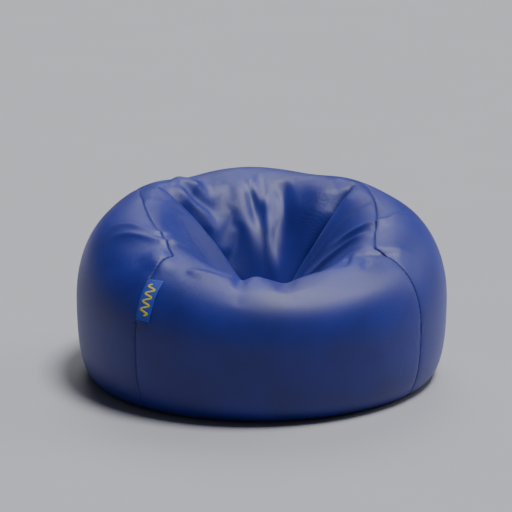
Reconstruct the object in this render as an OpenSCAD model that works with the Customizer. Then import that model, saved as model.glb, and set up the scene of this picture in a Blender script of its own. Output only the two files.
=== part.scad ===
// Bean bag chair: a low round bag with a deep seat hollow.
// A removable cover (two side panels, one wide centre panel and a two-part base
// with a zip) goes over an inner liner of the same cut, with its own zip, which
// holds the loose bead fill. A folded tab hangs from the left front seam.
// Units: millimetres. Floor at z = 0, +Z up, the front faces -Y, and the middle
// of the footprint is at the origin.

/* [Overall size] */
// Width across the two arms
bag_width = 1000; // [840:10:1200]
// Depth from the front of the bag to its back
bag_depth = 950; // [800:10:1140]
// Height of the front rim, which the legs go over
rim_height = 345; // [300:5:410]
// Height of the two arms
arm_height = 450; // [390:5:540]
// Height of the backrest
back_height = 475; // [420:5:570]
// Height of the bottom of the seat hollow above the floor
seat_height = 170; // [140:5:205]

/* [Bag shape] */
// Share of the outline that lies flat on the floor, at the front
floor_share_front = 0.83; // [0.72:0.01:0.9]
// The same at the sides
floor_share_side = 0.88; // [0.76:0.01:0.92]
// The same at the back
floor_share_back = 0.85; // [0.72:0.01:0.9]
// Share of the outline at which the rim's crest runs, at the front
crest_share_front = 0.70; // [0.6:0.01:0.76]
// The same at the arms
crest_share_side = 0.64; // [0.6:0.01:0.72]
// The same at the backrest
crest_share_back = 0.79; // [0.66:0.01:0.82]
// Height of the widest line at the front
waist_front = 180; // [150:5:215]
// Height of the widest line at the arms
waist_side = 200; // [150:5:240]
// Height of the widest line at the back
waist_back = 210; // [150:5:250]
// How squarely the lower wall bulges: 2 is an ellipse
bulge_low = 2.7; // [2:0.1:3]
// How squarely the upper wall bulges
bulge_high = 2.25; // [2:0.05:3]
// Forward shift of the middle of the seat hollow
seat_shift = 20; // [0:5:40]
// How soon the seat hollow drops behind the front rim: 1 is even, less is sooner
seat_drop_front = 0.82; // [0.75:0.01:1]
// The same at the arms
seat_drop_side = 0.95; // [0.85:0.01:1]
// The same at the backrest
seat_drop_back = 1; // [0.9:0.01:1.05]

/* [Seams] */
// Side seam position, as the tangent of its angle from the front, half way back
seam_spread = 1.245; // [1.1:0.005:1.35]
// How much further out the side seams run at the back than half way back
seam_flare = 0.105; // [0:0.005:0.15]
// Width of the gap between two panels, which the stitching lies in
seam_gap = 2.4; // [2:0.1:3.5]
// Thickness of the seam thread
seam_thread = 1.2; // [0.6:0.1:1.4]

/* [Cloth] */
// Thickness of the cover cloth
cover_cloth = 1.5; // [1:0.1:2]
// Thickness of the liner cloth
liner_cloth = 0.8; // [0.4:0.1:1.2]
// Space between the cover and the liner
liner_space = 2; // [1.5:0.5:4]
// Space between the liner and the beads
bead_space = 2; // [1.5:0.5:4]
// Space left over each zip's slider, under the next layer
zip_clearance = 3.25; // [2:0.25:6]

/* [Zips] */
// Length of the cover's zip
cover_zip_length = 560; // [400:10:600]
// Length of the liner's zip
liner_zip_length = 440; // [300:10:500]
// Width of the slot in the cloth that shows the zip
zip_slot = 8; // [7.6:0.1:10]
// Width of each zip tape, from the middle of the zip
zip_tape_reach = 20; // [16:1:26]
// Thickness of a zip tape
zip_tape = 0.6; // [0.4:0.1:0.8]
// Width of the slit between the two closed coils, which the slider's post runs in
zip_slit = 1.2; // [1:0.1:1.6]
// Width of one coil
coil_width = 2.5; // [2:0.1:3]
// Height of one coil
coil_height = 1.6; // [1.2:0.1:1.9]
// Length of a slider
slider_length = 11; // [9:0.5:14]
// Thickness of a slider's two plates
slider_plate = 0.9; // [0.7:0.1:1]
// Width of the post that joins a slider's two plates
slider_post = 0.7; // [0.5:0.1:0.8]
// Thickness of a slider's two side walls
slider_wall = 0.7; // [0.5:0.1:1]

/* [Tab] */
// Lower end of the tab, as a share of the seam from the widest line to the rim
tab_low = 0.10; // [0:0.01:0.3]
// Upper end of the tab on the same seam
tab_high = 0.59; // [0.45:0.01:0.7]
// How far the tab reaches over the front panel
tab_width = 44; // [30:1:60]
// Thickness of the tab's woven tape, which is folded double
tab_cloth = 0.6; // [0.4:0.1:0.8]
// Width of the yellow wave worked on the tab
motif_width = 3.2; // [2:0.1:4]
// Number of waves
motif_waves = 4; // [2:1:6]

/* [Inside labels] */
// Length of the blank care label inside the cover
care_length = 55; // [30:5:80]
// Width of the care label
care_width = 32; // [20:2:50]

/* [Detail] */
// Steps along each edge of a panel: an even number
steps = 12; // [8:2:14]

/* [Hidden] */
// Contact edge, widest line and crest, as angles up from the middle of the base
contact_angle = 50;
waist_angle = 86;
crest_angle = 122;
// Reach of the upper and lower seams on the bag
top_reach = 0.86;
base_reach = 1.55;
// Gap between a slider and what it runs on
running_gap = 0.25;
// Gaps between a tape and the cloth under it, and between a coil and its tape
tape_gap = 0.2;
coil_gap = 0.1;
half_gap = seam_gap / 2;
slot_half = zip_slot / 2;
slit_half = zip_slit / 2;
coil_out = slit_half + coil_width;
// Height of a zip from its tape's underside to the top of its coils, and to the
// top of its slider
coil_rise = zip_tape + coil_gap + coil_height;
slider_rise = coil_rise + running_gap + slider_plate;
cover_zip_z = cover_cloth + tape_gap;
// The liner's slider may stand a little under the liner's cloth
liner_base_height = cover_zip_z + slider_rise + zip_clearance
    + max(0, slider_plate - liner_cloth);
liner_zip_z = liner_base_height + liner_cloth + tape_gap;
bead_base_height = liner_zip_z + slider_rise + zip_clearance;
liner_inset = cover_cloth + liner_space;
bead_inset = liner_inset + liner_cloth + bead_space;

cover_blue = [0.10, 0.15, 0.45];
thread_blue = [0.16, 0.22, 0.55];
zip_blue = [0.06, 0.08, 0.22];
tab_blue = [0.12, 0.20, 0.62];
wave_yellow = [0.90, 0.78, 0.10];
liner_white = [0.90, 0.90, 0.87];
bead_white = [0.97, 0.97, 0.97];

// ---------- The form of the bag ----------

// Blends a value at the front, the sides and the back by the heading a
// (0 at the front, 90 at the right arm, 180 at the back).
function around(a, front, side, back) =
    let (c = cos(a))
    side + (front - back) / 2 * c + ((front + back) / 2 - side) * c * c;

// Distance from the middle to the widest line, on an oval
function outline(a) =
    1 / sqrt(pow(sin(a) / (bag_width / 2), 2) + pow(cos(a) / (bag_depth / 2), 2));

function share(x, low, high) = min(1, max(0, (x - low) / (high - low)));

// A point of the bag's outer face: p is the angle up from the middle of the
// base (180 is the bottom of the seat hollow) and a is the heading.
function bag_point(p, a) =
    let (
        R = outline(a),
        floor_r = around(a, floor_share_front, floor_share_side, floor_share_back) * R,
        crest_r = around(a, crest_share_front, crest_share_side, crest_share_back) * R,
        waist_z = around(a, waist_front, waist_side, waist_back),
        crest_z = around(a, rim_height, arm_height, back_height),
        low = 90 * share(p, contact_angle, waist_angle),
        high = 90 * share(p, waist_angle, crest_angle),
        t = share(p, crest_angle, 180),
        drop = around(a, seat_drop_front, seat_drop_side, seat_drop_back),
        r = p <= contact_angle ? floor_r * p / contact_angle
          : p <= waist_angle ? floor_r + (R - floor_r) * pow(sin(low), 2 / bulge_low)
          : p <= crest_angle ? crest_r + (R - crest_r) * pow(cos(high), 2 / bulge_high)
          : crest_r * (1 - t),
        z = p <= contact_angle ? 0
          : p <= waist_angle ? waist_z * (1 - pow(cos(low), 2 / bulge_low))
          : p <= crest_angle ? waist_z + (crest_z - waist_z) * pow(sin(high), 2 / bulge_high)
          : seat_height + (crest_z - seat_height) * (0.5 + 0.5 * cos(180 * pow(t, drop))),
        shift = -seat_shift * share(p, waist_angle, 180)
    )
    [r * sin(a), -r * cos(a) + shift, z];

function unit(v) = v / norm(v);

// The outer face in a direction d from the middle of the bag
function skin_point(d) = bag_point(acos(min(1, max(-1, -d.z))), atan2(d.x, -d.y));

// Outward normal in direction d, from two short steps across it
function normal_at(d) =
    let (
        e = 0.02,
        side_step = unit(abs(d.z) < 0.9 ? cross([0, 0, 1], d) : cross([1, 0, 0], d)),
        up_step = cross(d, side_step),
        s = skin_point(unit(d + e * side_step)) - skin_point(unit(d - e * side_step)),
        u = skin_point(unit(d + e * up_step)) - skin_point(unit(d - e * up_step))
    )
    unit(cross(s, u));

// A layer of the bag, inset along the normal and with its base raised off the floor
function layer(d, inset, raise) =
    skin_point(d) - inset * normal_at(d)
    + [0, 0, raise * pow(cos(90 * share(acos(-d.z), contact_angle - 2, waist_angle)), 2)];

// ---------- The cut of the panels ----------

// The bag is cut like a box: left, right, front, top, back and base. Each point
// of the box maps to a direction.
function box_dir(x, y, z) =
    unit([x * (seam_spread + seam_flare * y), y, z * (z > 0 ? top_reach : base_reach)]);

function bend(t) = tan(45 * t);

// Direction on the left (side = -1) or right (side = 1) panel: u runs from the
// front to the back and v from the base to the top.
function side_dir(side, u, v) = box_dir(side, bend(u), bend(v));

// Direction on the centre panel: u runs from left to right; s runs from 0 at the
// base, up the front, from 1 to 2 over the seat, and down the back to 3.
function centre_dir(u, s) =
    s <= 1 ? box_dir(bend(u), -1, bend(2 * s - 1))
  : s <= 2 ? box_dir(bend(u), bend(2 * s - 3), 1)
  : box_dir(bend(u), 1, bend(5 - 2 * s));

// Moves a panel's edge point in from the seam by half the gap
function from_seam(d, inner, inset, raise) =
    half_gap * unit(layer(inner, inset, raise) - layer(d, inset, raise));

function side_point(side, u, v, inset, raise) =
    let (d = side_dir(side, u, v))
    layer(d, inset, raise)
    + (abs(u) == 1 ? from_seam(d, side_dir(side, 0.95 * u, v), inset, raise) : [0, 0, 0])
    + (abs(v) == 1 ? from_seam(d, side_dir(side, u, 0.95 * v), inset, raise) : [0, 0, 0]);

function centre_point(u, s, inset, raise) =
    let (d = centre_dir(u, s))
    layer(d, inset, raise)
    + (abs(u) == 1 ? from_seam(d, centre_dir(0.95 * u, s), inset, raise) : [0, 0, 0])
    + (s == 0 ? from_seam(d, centre_dir(u, 0.03), inset, raise) : [0, 0, 0])
    + (s == 3 ? from_seam(d, centre_dir(u, 2.97), inset, raise) : [0, 0, 0]);

function step_at(i) = -1 + 2 * i / steps;

function turned(faces, flip) =
    flip ? [for (f = faces) [f[2], f[1], f[0]]] : faces;

// A sheet from a grid of outer and inner points, (m + 1) by (n + 1) of each.
// The rows run across and the columns up, seen from outside.
module sheet(outer, inner, m, n, flip = false) {
    w = n + 1;
    count = (m + 1) * w;
    skin = [for (i = [0:m - 1], j = [0:n - 1])
        let (a = i * w + j, b = a + w)
        each [[a, a + 1, b + 1], [a, b + 1, b]]];
    lining = [for (f = skin) [f[2] + count, f[1] + count, f[0] + count]];
    rim = concat(
        [for (j = [0:n - 1]) [j, j + 1]],
        [for (i = [0:m - 1]) [i * w + n, (i + 1) * w + n]],
        [for (j = [n:-1:1]) [m * w + j, m * w + j - 1]],
        [for (i = [m:-1:1]) [i * w, (i - 1) * w]]);
    walls = [for (e = rim)
        each [[e[0], e[0] + count, e[1] + count], [e[0], e[1] + count, e[1]]]];
    polyhedron(concat(outer, inner), turned(concat(skin, lining, walls), flip),
        convexity = 8);
}

module side_sheet(side, inset, cloth, raise) {
    sheet(
        [for (i = [0:steps], j = [0:steps])
            side_point(side, step_at(i), step_at(j), inset, raise)],
        [for (i = [0:steps], j = [0:steps])
            side_point(side, step_at(i), step_at(j), inset + cloth, raise)],
        steps, steps, side < 0);
}

module centre_sheet(inset, cloth, raise) {
    sheet(
        [for (i = [0:steps], j = [0:3 * steps])
            centre_point(step_at(i), j / steps, inset, raise)],
        [for (i = [0:steps], j = [0:3 * steps])
            centre_point(step_at(i), j / steps, inset + cloth, raise)],
        steps, 3 * steps);
}

// Half of the flat base: end = -1 is the front half and 1 the rear half
module base_sheet(end, z, cloth, slot_length) {
    half_steps = steps / 2;
    edge = [for (i = [0:steps])
        let (d = box_dir(bend(step_at(i)), end, -1), p = skin_point(d))
        [p.x * (1 - (i == 0 || i == steps ? half_gap / abs(p.x) : 0)),
            p.y - end * half_gap]];
    sides = [for (i = [1:half_steps])
        let (d = box_dir(1, end * bend(1 - i / half_steps), -1), p = skin_point(d))
        [p.x - half_gap, p.y]];
    slot = slot_length / 2 + 6;
    right = [for (p = sides) [p.x, end * max(abs(p.y), half_gap)]];
    left = [for (i = [half_steps - 1:-1:0]) [-right[i].x, right[i].y]];
    middle = [[slot, end * half_gap], [slot, end * slot_half],
        [-slot, end * slot_half], [-slot, end * half_gap]];
    translate([0, 0, z])
        linear_extrude(cloth)
            polygon(concat(edge, right, middle, left));
}

// A cord along a list of points: across and out are its two directions there
module cord(path, across, out, thick, closed) {
    k = 6;
    n = len(path);
    points = [for (i = [0:n - 1], j = [0:k - 1])
        path[i] + thick / 2 * (cos(360 * j / k) * across[i] + sin(360 * j / k) * out[i])];
    last = closed ? n - 1 : n - 2;
    walls = [for (i = [0:last], j = [0:k - 1])
        let (a = i * k, b = ((i + 1) % n) * k, j2 = (j + 1) % k)
        each [[a + j, b + j, b + j2], [a + j, b + j2, a + j2]]];
    ends = closed ? [] : [[for (j = [0:k - 1]) j], [for (j = [k - 1:-1:0]) (n - 1) * k + j]];
    polyhedron(points, concat(walls, ends), convexity = 8);
}

// Stitching all round a side panel: up the front seam, over the arm, down the
// back seam and along the base
module side_seam(side, inset, cloth, raise) {
    ring = concat(
        [for (i = [0:steps - 1]) side_dir(side, -1, step_at(i))],
        [for (i = [0:steps - 1]) side_dir(side, step_at(i), 1)],
        [for (i = [steps:-1:1]) side_dir(side, 1, step_at(i))],
        [for (i = [steps:-1:1]) side_dir(side, step_at(i), -1)]);
    n = len(ring);
    path = [for (d = ring) layer(d, inset + cloth / 2, raise)];
    along = [for (i = [0:n - 1]) unit(path[(i + 1) % n] - path[(i + n - 1) % n])];
    out = [for (i = [0:n - 1]) normal_at(ring[i])];
    across = [for (i = [0:n - 1]) side * unit(cross(out[i], along[i]))];
    cord(path, across, out, min(seam_thread, cloth), true);
}

// Stitching along the front and rear edges of the base, and beyond the zip's ends
module base_seams(z, cloth, slot_length) {
    thick = min(seam_thread, cloth);
    for (end = [-1, 1]) {
        path = [for (i = [0:steps])
            let (t = step_at(i) * 0.985, d = box_dir(bend(t), end, -1), p = skin_point(d))
            [p.x, p.y, z + cloth / 2]];
        n = len(path);
        along = [for (i = [0:n - 1])
            unit(path[min(i + 1, n - 1)] - path[max(i - 1, 0)])];
        across = [for (i = [0:n - 1]) cross([0, 0, 1], along[i])];
        cord(path, across, [for (i = [0:n - 1]) [0, 0, 1]], thick, false);
    }
    base_half = skin_point(box_dir(1, 0, -1)).x;
    start = slot_length / 2 + 8;
    for (side = [-1, 1])
        translate([side * (start + base_half - 6) / 2, 0, z + cloth / 2])
            rotate([0, 90, 0])
                cylinder(h = base_half - 6 - start, d = thick, center = true, $fn = 24);
}

// ---------- Zips ----------

module zip_tape_strip(end, z, length) {
    inner = slit_half + running_gap;
    reach = zip_tape_reach - inner;
    translate([0, end * (inner + reach / 2), z + zip_tape / 2])
        cube([length + 24, reach, zip_tape], center = true);
}

module zip_coil_row(end, z, length) {
    h = coil_height;
    translate([-length / 2, end * (slit_half + coil_width / 2), z + coil_rise - h / 2])
        rotate([90, 0, 90])
            linear_extrude(length)
                polygon([[-coil_width / 2, -h / 2], [coil_width / 2, -h / 2],
                    [coil_width / 2, h * 0.2], [coil_width * 0.3, h / 2],
                    [-coil_width * 0.3, h / 2], [-coil_width / 2, h * 0.2]]);
}

// A slider with no pull tab: a plate on each side of the coils, joined by a post
module zip_slider_body(z, rest_x) {
    under = z - tape_gap - slider_plate;
    over = z + coil_rise + running_gap;
    wall_from = z + zip_tape + running_gap;
    plate_y = zip_slot - 1;
    inner_y = 2 * (coil_out + running_gap + slider_wall);
    lap = 0.1;
    translate([rest_x, 0, 0]) {
        // outer plate, in the slot, rounded at its leading end
        translate([0, 0, under])
            linear_extrude(slider_plate)
                hull() {
                    translate([slider_length / 2 - plate_y / 2, 0])
                        circle(d = plate_y, $fn = 48);
                    translate([-slider_length / 2 + 1, 0])
                        square([2, plate_y * 0.7], center = true);
                }
        // post
        translate([slider_length / 2 - 3, 0, under + slider_plate - lap])
            linear_extrude(over - under - slider_plate + 2 * lap)
                square([3, slider_post], center = true);
        // inner plate
        translate([0, 0, over])
            linear_extrude(slider_plate)
                square([slider_length, inner_y], center = true);
        // the two side walls that guide the coils
        for (end = [-1, 1])
            translate([0, end * (inner_y - slider_wall) / 2, wall_from])
                linear_extrude(over - wall_from + lap)
                    square([slider_length, slider_wall], center = true);
    }
}

module zip_stops(z, length) {
    for (side = [-1, 1])
        translate([side * (length / 2 + 3), 0, z + coil_rise - coil_height / 2])
            cube([4, 2 * coil_out, coil_height], center = true);
}

// ---------- Tab on the left front seam ----------

// v from 0 at the widest line to 1 at the rim
function tab_dir(w, v) = centre_dir(-1 + 0.0027 * w, (v + 1) / 2);

// A point of the tab: w millimetres from its sewn edge, and out from the cover
function tab_point(w, v, out) =
    let (d = tab_dir(0.6, v), far = tab_dir(tab_width, v), p = skin_point(far),
        q = skin_point(d), t = (w + half_gap) / norm(p - q), k = tab_dir(w, v))
    q + (p - q) * t + normal_at(d) * out
    + normal_at(d) * 2.2 * sin(180 * min(1, w / tab_width));

module tab_strip() {
    m = 10;
    gap = 0.3;
    low = 0.9;
    mid = low + tab_cloth;
    // the cross-section of a tape folded double, with its fold at the free edge
    fold = [[0.2, low], [tab_width - 0.6, low], [tab_width, low + tab_cloth + gap / 2],
        [tab_width - 0.6, mid + gap + tab_cloth], [0.2, mid + gap + tab_cloth],
        [0.2, mid + gap], [tab_width - 1.4, mid + gap], [tab_width - 1.4, mid], [0.2, mid]];
    k = len(fold);
    points = [for (i = [0:m], f = fold)
        tab_point(f[0], tab_low + (tab_high - tab_low) * i / m, f[1])];
    walls = [for (i = [0:m - 1], j = [0:k - 1])
        let (a = i * k, b = a + k, j2 = (j + 1) % k)
        each [[a + j, b + j, b + j2], [a + j, b + j2, a + j2]]];
    // each end is closed layer by layer, so that no flat face bridges the fold
    end_face = [[0, 1, 7], [0, 7, 8], [1, 2, 7], [2, 6, 7], [2, 3, 6], [3, 4, 6], [4, 5, 6]];
    top = [for (f = end_face) [m * k + f[2], m * k + f[1], m * k + f[0]]];
    polyhedron(points, concat(walls, end_face, top), convexity = 4);
}

module tab_wave_ribbon() {
    m = 12 * motif_waves;
    base = 0.9 + 2 * tab_cloth + 0.3 + 0.1;
    centre = tab_width * 0.52;
    swing = tab_width * 0.26;
    section = [[-motif_width / 2, 0], [motif_width / 2, 0], [motif_width / 2, 0.5],
        [-motif_width / 2, 0.5]];
    points = [for (i = [0:m], c = section)
        let (v = tab_low + (tab_high - tab_low) * (0.12 + 0.76 * i / m))
        tab_point(centre + swing * sin(360 * motif_waves * i / m) + c[0], v, base + c[1])];
    walls = [for (i = [0:m - 1], j = [0:3])
        let (a = i * 4, b = a + 4, j2 = (j + 1) % 4)
        each [[a + j, b + j, b + j2], [a + j, b + j2, a + j2]]];
    ends = [[0, 1, 2], [0, 2, 3], [m * 4 + 2, m * 4 + 1, m * 4], [m * 4 + 3, m * 4 + 2, m * 4]];
    polyhedron(points, concat(walls, ends), convexity = 6);
}

// ---------- Cover ----------

module left_side_panel() color(cover_blue) side_sheet(-1, 0, cover_cloth, 0);
module right_side_panel() color(cover_blue) side_sheet(1, 0, cover_cloth, 0);
module centre_panel() color(cover_blue) centre_sheet(0, cover_cloth, 0);
module base_front_panel() color(cover_blue) base_sheet(-1, 0, cover_cloth, cover_zip_length);
module base_rear_panel() color(cover_blue) base_sheet(1, 0, cover_cloth, cover_zip_length);
module left_seam_thread() color(thread_blue) side_seam(-1, 0, cover_cloth, 0);
module right_seam_thread() color(thread_blue) side_seam(1, 0, cover_cloth, 0);
module base_seam_thread() color(thread_blue) base_seams(0, cover_cloth, cover_zip_length);

module cover_zip_front_tape() color(zip_blue) zip_tape_strip(-1, cover_zip_z, cover_zip_length);
module cover_zip_rear_tape() color(zip_blue) zip_tape_strip(1, cover_zip_z, cover_zip_length);
module cover_zip_front_coil() color(zip_blue) zip_coil_row(-1, cover_zip_z, cover_zip_length);
module cover_zip_rear_coil() color(zip_blue) zip_coil_row(1, cover_zip_z, cover_zip_length);
module cover_zip_slider() color([0.55, 0.55, 0.58])
    zip_slider_body(cover_zip_z, cover_zip_length / 2 - slider_length / 2 - 1);
module cover_zip_end_stops() color([0.55, 0.55, 0.58]) zip_stops(cover_zip_z, cover_zip_length);

// A row of stitches on the inside of each tape, through tape and base cloth
module cover_zip_stitching() color(thread_blue)
    for (end = [-1, 1])
        translate([0, end * (slot_half + 3), cover_zip_z + zip_tape + 0.1 + 0.25])
            rotate([0, 90, 0])
                cylinder(h = cover_zip_length, d = 0.5, center = true, $fn = 16);

module tab_label() color(tab_blue) tab_strip();
module tab_wave() color(wave_yellow) tab_wave_ribbon();

// A blank folded label, sewn inside behind the front zip tape
module care_label() color(liner_white)
    translate([cover_zip_length * 0.3, -zip_tape_reach - 1 - care_width / 2, cover_zip_z + 0.3])
        cube([care_length, care_width, 0.6], center = true);

// ---------- Liner ----------

module liner_left_panel() color(liner_white)
    side_sheet(-1, liner_inset, liner_cloth, liner_base_height - liner_inset);
module liner_right_panel() color(liner_white)
    side_sheet(1, liner_inset, liner_cloth, liner_base_height - liner_inset);
module liner_centre_panel() color(liner_white)
    centre_sheet(liner_inset, liner_cloth, liner_base_height - liner_inset);
module liner_base_front_panel() color(liner_white)
    base_sheet(-1, liner_base_height, liner_cloth, liner_zip_length);
module liner_base_rear_panel() color(liner_white)
    base_sheet(1, liner_base_height, liner_cloth, liner_zip_length);
module liner_left_seam_thread() color(liner_white)
    side_seam(-1, liner_inset, liner_cloth, liner_base_height - liner_inset);
module liner_right_seam_thread() color(liner_white)
    side_seam(1, liner_inset, liner_cloth, liner_base_height - liner_inset);
module liner_base_seam_thread() color(liner_white)
    base_seams(liner_base_height, liner_cloth, liner_zip_length);

module liner_zip_front_tape() color(liner_white) zip_tape_strip(-1, liner_zip_z, liner_zip_length);
module liner_zip_rear_tape() color(liner_white) zip_tape_strip(1, liner_zip_z, liner_zip_length);
module liner_zip_front_coil() color(liner_white) zip_coil_row(-1, liner_zip_z, liner_zip_length);
module liner_zip_rear_coil() color(liner_white) zip_coil_row(1, liner_zip_z, liner_zip_length);
module liner_zip_slider() color([0.55, 0.55, 0.58])
    zip_slider_body(liner_zip_z, liner_zip_length / 2 - slider_length / 2 - 1);
module liner_zip_end_stops() color([0.55, 0.55, 0.58]) zip_stops(liner_zip_z, liner_zip_length);

// ---------- Beads ----------

// The loose beads as one settled mass, with the same cut as the liner
module bead_fill() color(bead_white) {
    n = steps;
    w = n + 1;
    raise = bead_base_height - bead_inset;
    dirs = concat(
        [for (i = [0:n], j = [0:n]) box_dir(-1, -bend(step_at(i)), bend(step_at(j)))],
        [for (i = [0:n], j = [0:n]) box_dir(1, bend(step_at(i)), bend(step_at(j)))],
        [for (i = [0:n], j = [0:n]) box_dir(bend(step_at(i)), -1, bend(step_at(j)))],
        [for (i = [0:n], j = [0:n]) box_dir(-bend(step_at(i)), 1, bend(step_at(j)))],
        [for (i = [0:n], j = [0:n]) box_dir(bend(step_at(i)), bend(step_at(j)), 1)],
        [for (i = [0:n], j = [0:n]) box_dir(bend(step_at(i)), -bend(step_at(j)), -1)]);
    faces = [for (f = [0:5], i = [0:n - 1], j = [0:n - 1])
        let (a = f * w * w + i * w + j, b = a + w)
        each [[a, a + 1, b + 1], [a, b + 1, b]]];
    polyhedron([for (d = dirs) layer(d, bead_inset, raise)], faces, convexity = 8);
}

left_side_panel();
right_side_panel();
centre_panel();
base_front_panel();
base_rear_panel();
left_seam_thread();
right_seam_thread();
base_seam_thread();
cover_zip_front_tape();
cover_zip_rear_tape();
cover_zip_front_coil();
cover_zip_rear_coil();
cover_zip_slider();
cover_zip_end_stops();
cover_zip_stitching();
tab_label();
tab_wave();
care_label();
liner_left_panel();
liner_right_panel();
liner_centre_panel();
liner_base_front_panel();
liner_base_rear_panel();
liner_left_seam_thread();
liner_right_seam_thread();
liner_base_seam_thread();
liner_zip_front_tape();
liner_zip_rear_tape();
liner_zip_front_coil();
liner_zip_rear_coil();
liner_zip_slider();
liner_zip_end_stops();
bead_fill();
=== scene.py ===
# %% [markdown]
# # A bean bag chair
# A low round bag of cloth, filled with loose beads, with a deep hollow to sit in.
# Its cover is cut as a left and a right side panel, one wide centre panel that
# runs up the front, through the seat and down the back, and a flat base with a
# zip. The parts that move, and the sizes of everything, come from a frame that
# was designed first. This lesson builds the looks on that frame: soft cloth with
# folds, seams, a woven tab, a zip, a floor and light.

# %% Load the frame
import math

import bmesh
import bpy
import numpy as np
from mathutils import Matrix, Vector


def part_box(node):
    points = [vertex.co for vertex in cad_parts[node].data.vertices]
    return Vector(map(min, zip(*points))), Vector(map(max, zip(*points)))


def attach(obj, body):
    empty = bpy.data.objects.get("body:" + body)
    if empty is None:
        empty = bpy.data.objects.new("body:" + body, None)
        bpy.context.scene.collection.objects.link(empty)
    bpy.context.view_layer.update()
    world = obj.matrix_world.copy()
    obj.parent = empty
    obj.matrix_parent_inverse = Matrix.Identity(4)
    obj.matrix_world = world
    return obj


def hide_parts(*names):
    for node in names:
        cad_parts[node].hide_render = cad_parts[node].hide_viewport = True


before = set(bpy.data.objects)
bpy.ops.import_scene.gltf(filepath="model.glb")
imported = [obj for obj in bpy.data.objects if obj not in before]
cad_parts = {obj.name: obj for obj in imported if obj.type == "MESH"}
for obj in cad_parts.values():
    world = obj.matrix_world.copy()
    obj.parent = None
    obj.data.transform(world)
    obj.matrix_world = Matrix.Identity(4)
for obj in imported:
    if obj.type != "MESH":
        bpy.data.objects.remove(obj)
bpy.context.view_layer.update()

# %% [markdown]
# ## The form of the filled bag
# A real bag gets its form from its cut and its fill. We describe the filled form
# by one rule: for each heading round the bag and each angle up from the middle
# of its base, the rule gives a point. Four stretches follow each other: the flat
# contact with the floor, the lower wall, the upper wall up to the crest, and the
# seat hollow. A rule is easier to change than a sculpted mesh, and every later
# piece can ask it for a place.

# %% Sizes of the bag, in metres
HALF_WIDTH = 0.500
HALF_DEPTH = 0.475
FLOOR_SHARE = (0.83, 0.88, 0.85)     # front, side, back
CREST_SHARE = (0.70, 0.64, 0.79)
WAIST_HEIGHT = (0.18, 0.20, 0.21)
CREST_HEIGHT = (0.345, 0.450, 0.475)
DROP_START = (0.82, 0.95, 1.00)      # below 1 the seat drops sooner behind its rim
SEAT_HEIGHT = 0.170
SEAT_SHIFT = 0.020
CONTACT_ANGLE = 50.0
WAIST_ANGLE = 86.0
CREST_ANGLE = 122.0
BULGE_LOW = 2.7
BULGE_HIGH = 2.25


# %% The rule for the form
def around(heading, values):
    """Blend a front, a side and a back value by heading, 0 being the front."""
    front, side, back = values
    c = np.cos(heading)
    return side + (front - back) / 2 * c + ((front + back) / 2 - side) * c * c


def stretch(angle, low, high):
    """How far angle has gone from low to high, from 0 to 1."""
    return np.clip((angle - low) / (high - low), 0, 1)


def bag_point(angle, heading):
    """Points of the filled bag; angle in degrees, heading in radians."""
    outline = 1 / np.sqrt((np.sin(heading) / HALF_WIDTH) ** 2
                          + (np.cos(heading) / HALF_DEPTH) ** 2)
    floor_r = around(heading, FLOOR_SHARE) * outline
    crest_r = around(heading, CREST_SHARE) * outline
    waist_z = around(heading, WAIST_HEIGHT)
    crest_z = around(heading, CREST_HEIGHT)
    floor_part = stretch(angle, 0, CONTACT_ANGLE)
    low = stretch(angle, CONTACT_ANGLE, WAIST_ANGLE) * math.pi / 2
    high = stretch(angle, WAIST_ANGLE, CREST_ANGLE) * math.pi / 2
    seat = stretch(angle, CREST_ANGLE, 180)
    r_low = floor_r + (outline - floor_r) * np.sin(low) ** (2 / BULGE_LOW)
    z_low = waist_z * (1 - np.maximum(np.cos(low), 0) ** (2 / BULGE_LOW))
    r_high = crest_r + (outline - crest_r) * np.maximum(np.cos(high), 0) ** (2 / BULGE_HIGH)
    z_high = waist_z + (crest_z - waist_z) * np.sin(high) ** (2 / BULGE_HIGH)
    drop = 0.5 + 0.5 * np.cos(math.pi * seat ** around(heading, DROP_START))
    r = np.where(angle <= CONTACT_ANGLE, floor_r * floor_part,
                 np.where(angle <= WAIST_ANGLE, r_low,
                          np.where(angle <= CREST_ANGLE, r_high, crest_r * (1 - seat))))
    z = np.where(angle <= CONTACT_ANGLE, 0,
                 np.where(angle <= WAIST_ANGLE, z_low,
                          np.where(angle <= CREST_ANGLE, z_high,
                                   SEAT_HEIGHT + (crest_z - SEAT_HEIGHT) * drop)))
    shift = -SEAT_SHIFT * stretch(angle, WAIST_ANGLE, 180)
    return np.stack([r * np.sin(heading), -r * np.cos(heading) + shift, z], -1)


# %% [markdown]
# ## The cut of the cover
# The bag is cut like a box whose faces have been blown up: left, right, front,
# top, back and base. Front, top and back are one long strip of cloth. Working
# with box faces gives even squares everywhere, so cloth bends well, and each
# seam follows an edge of the grid.

# %% Box faces to directions
SEAM_SPREAD = 1.245
SEAM_FLARE = 0.105
TOP_REACH = 0.86
BASE_REACH = 1.55


def box_direction(x, y, z):
    """The direction from the middle of the bag of a point on the box."""
    reach = np.where(z > 0, TOP_REACH, BASE_REACH)
    d = np.stack([x * (SEAM_SPREAD + SEAM_FLARE * y), y, z * reach], -1)
    return d / np.linalg.norm(d, axis=-1, keepdims=True)


def bend(t):
    return np.tan(t * math.pi / 4)


def angles_of(direction):
    """Angle up from the middle of the base, in degrees, and heading in radians."""
    angle = np.degrees(np.arccos(np.clip(-direction[..., 2], -1, 1)))
    return angle, np.arctan2(direction[..., 0], -direction[..., 1])


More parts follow.
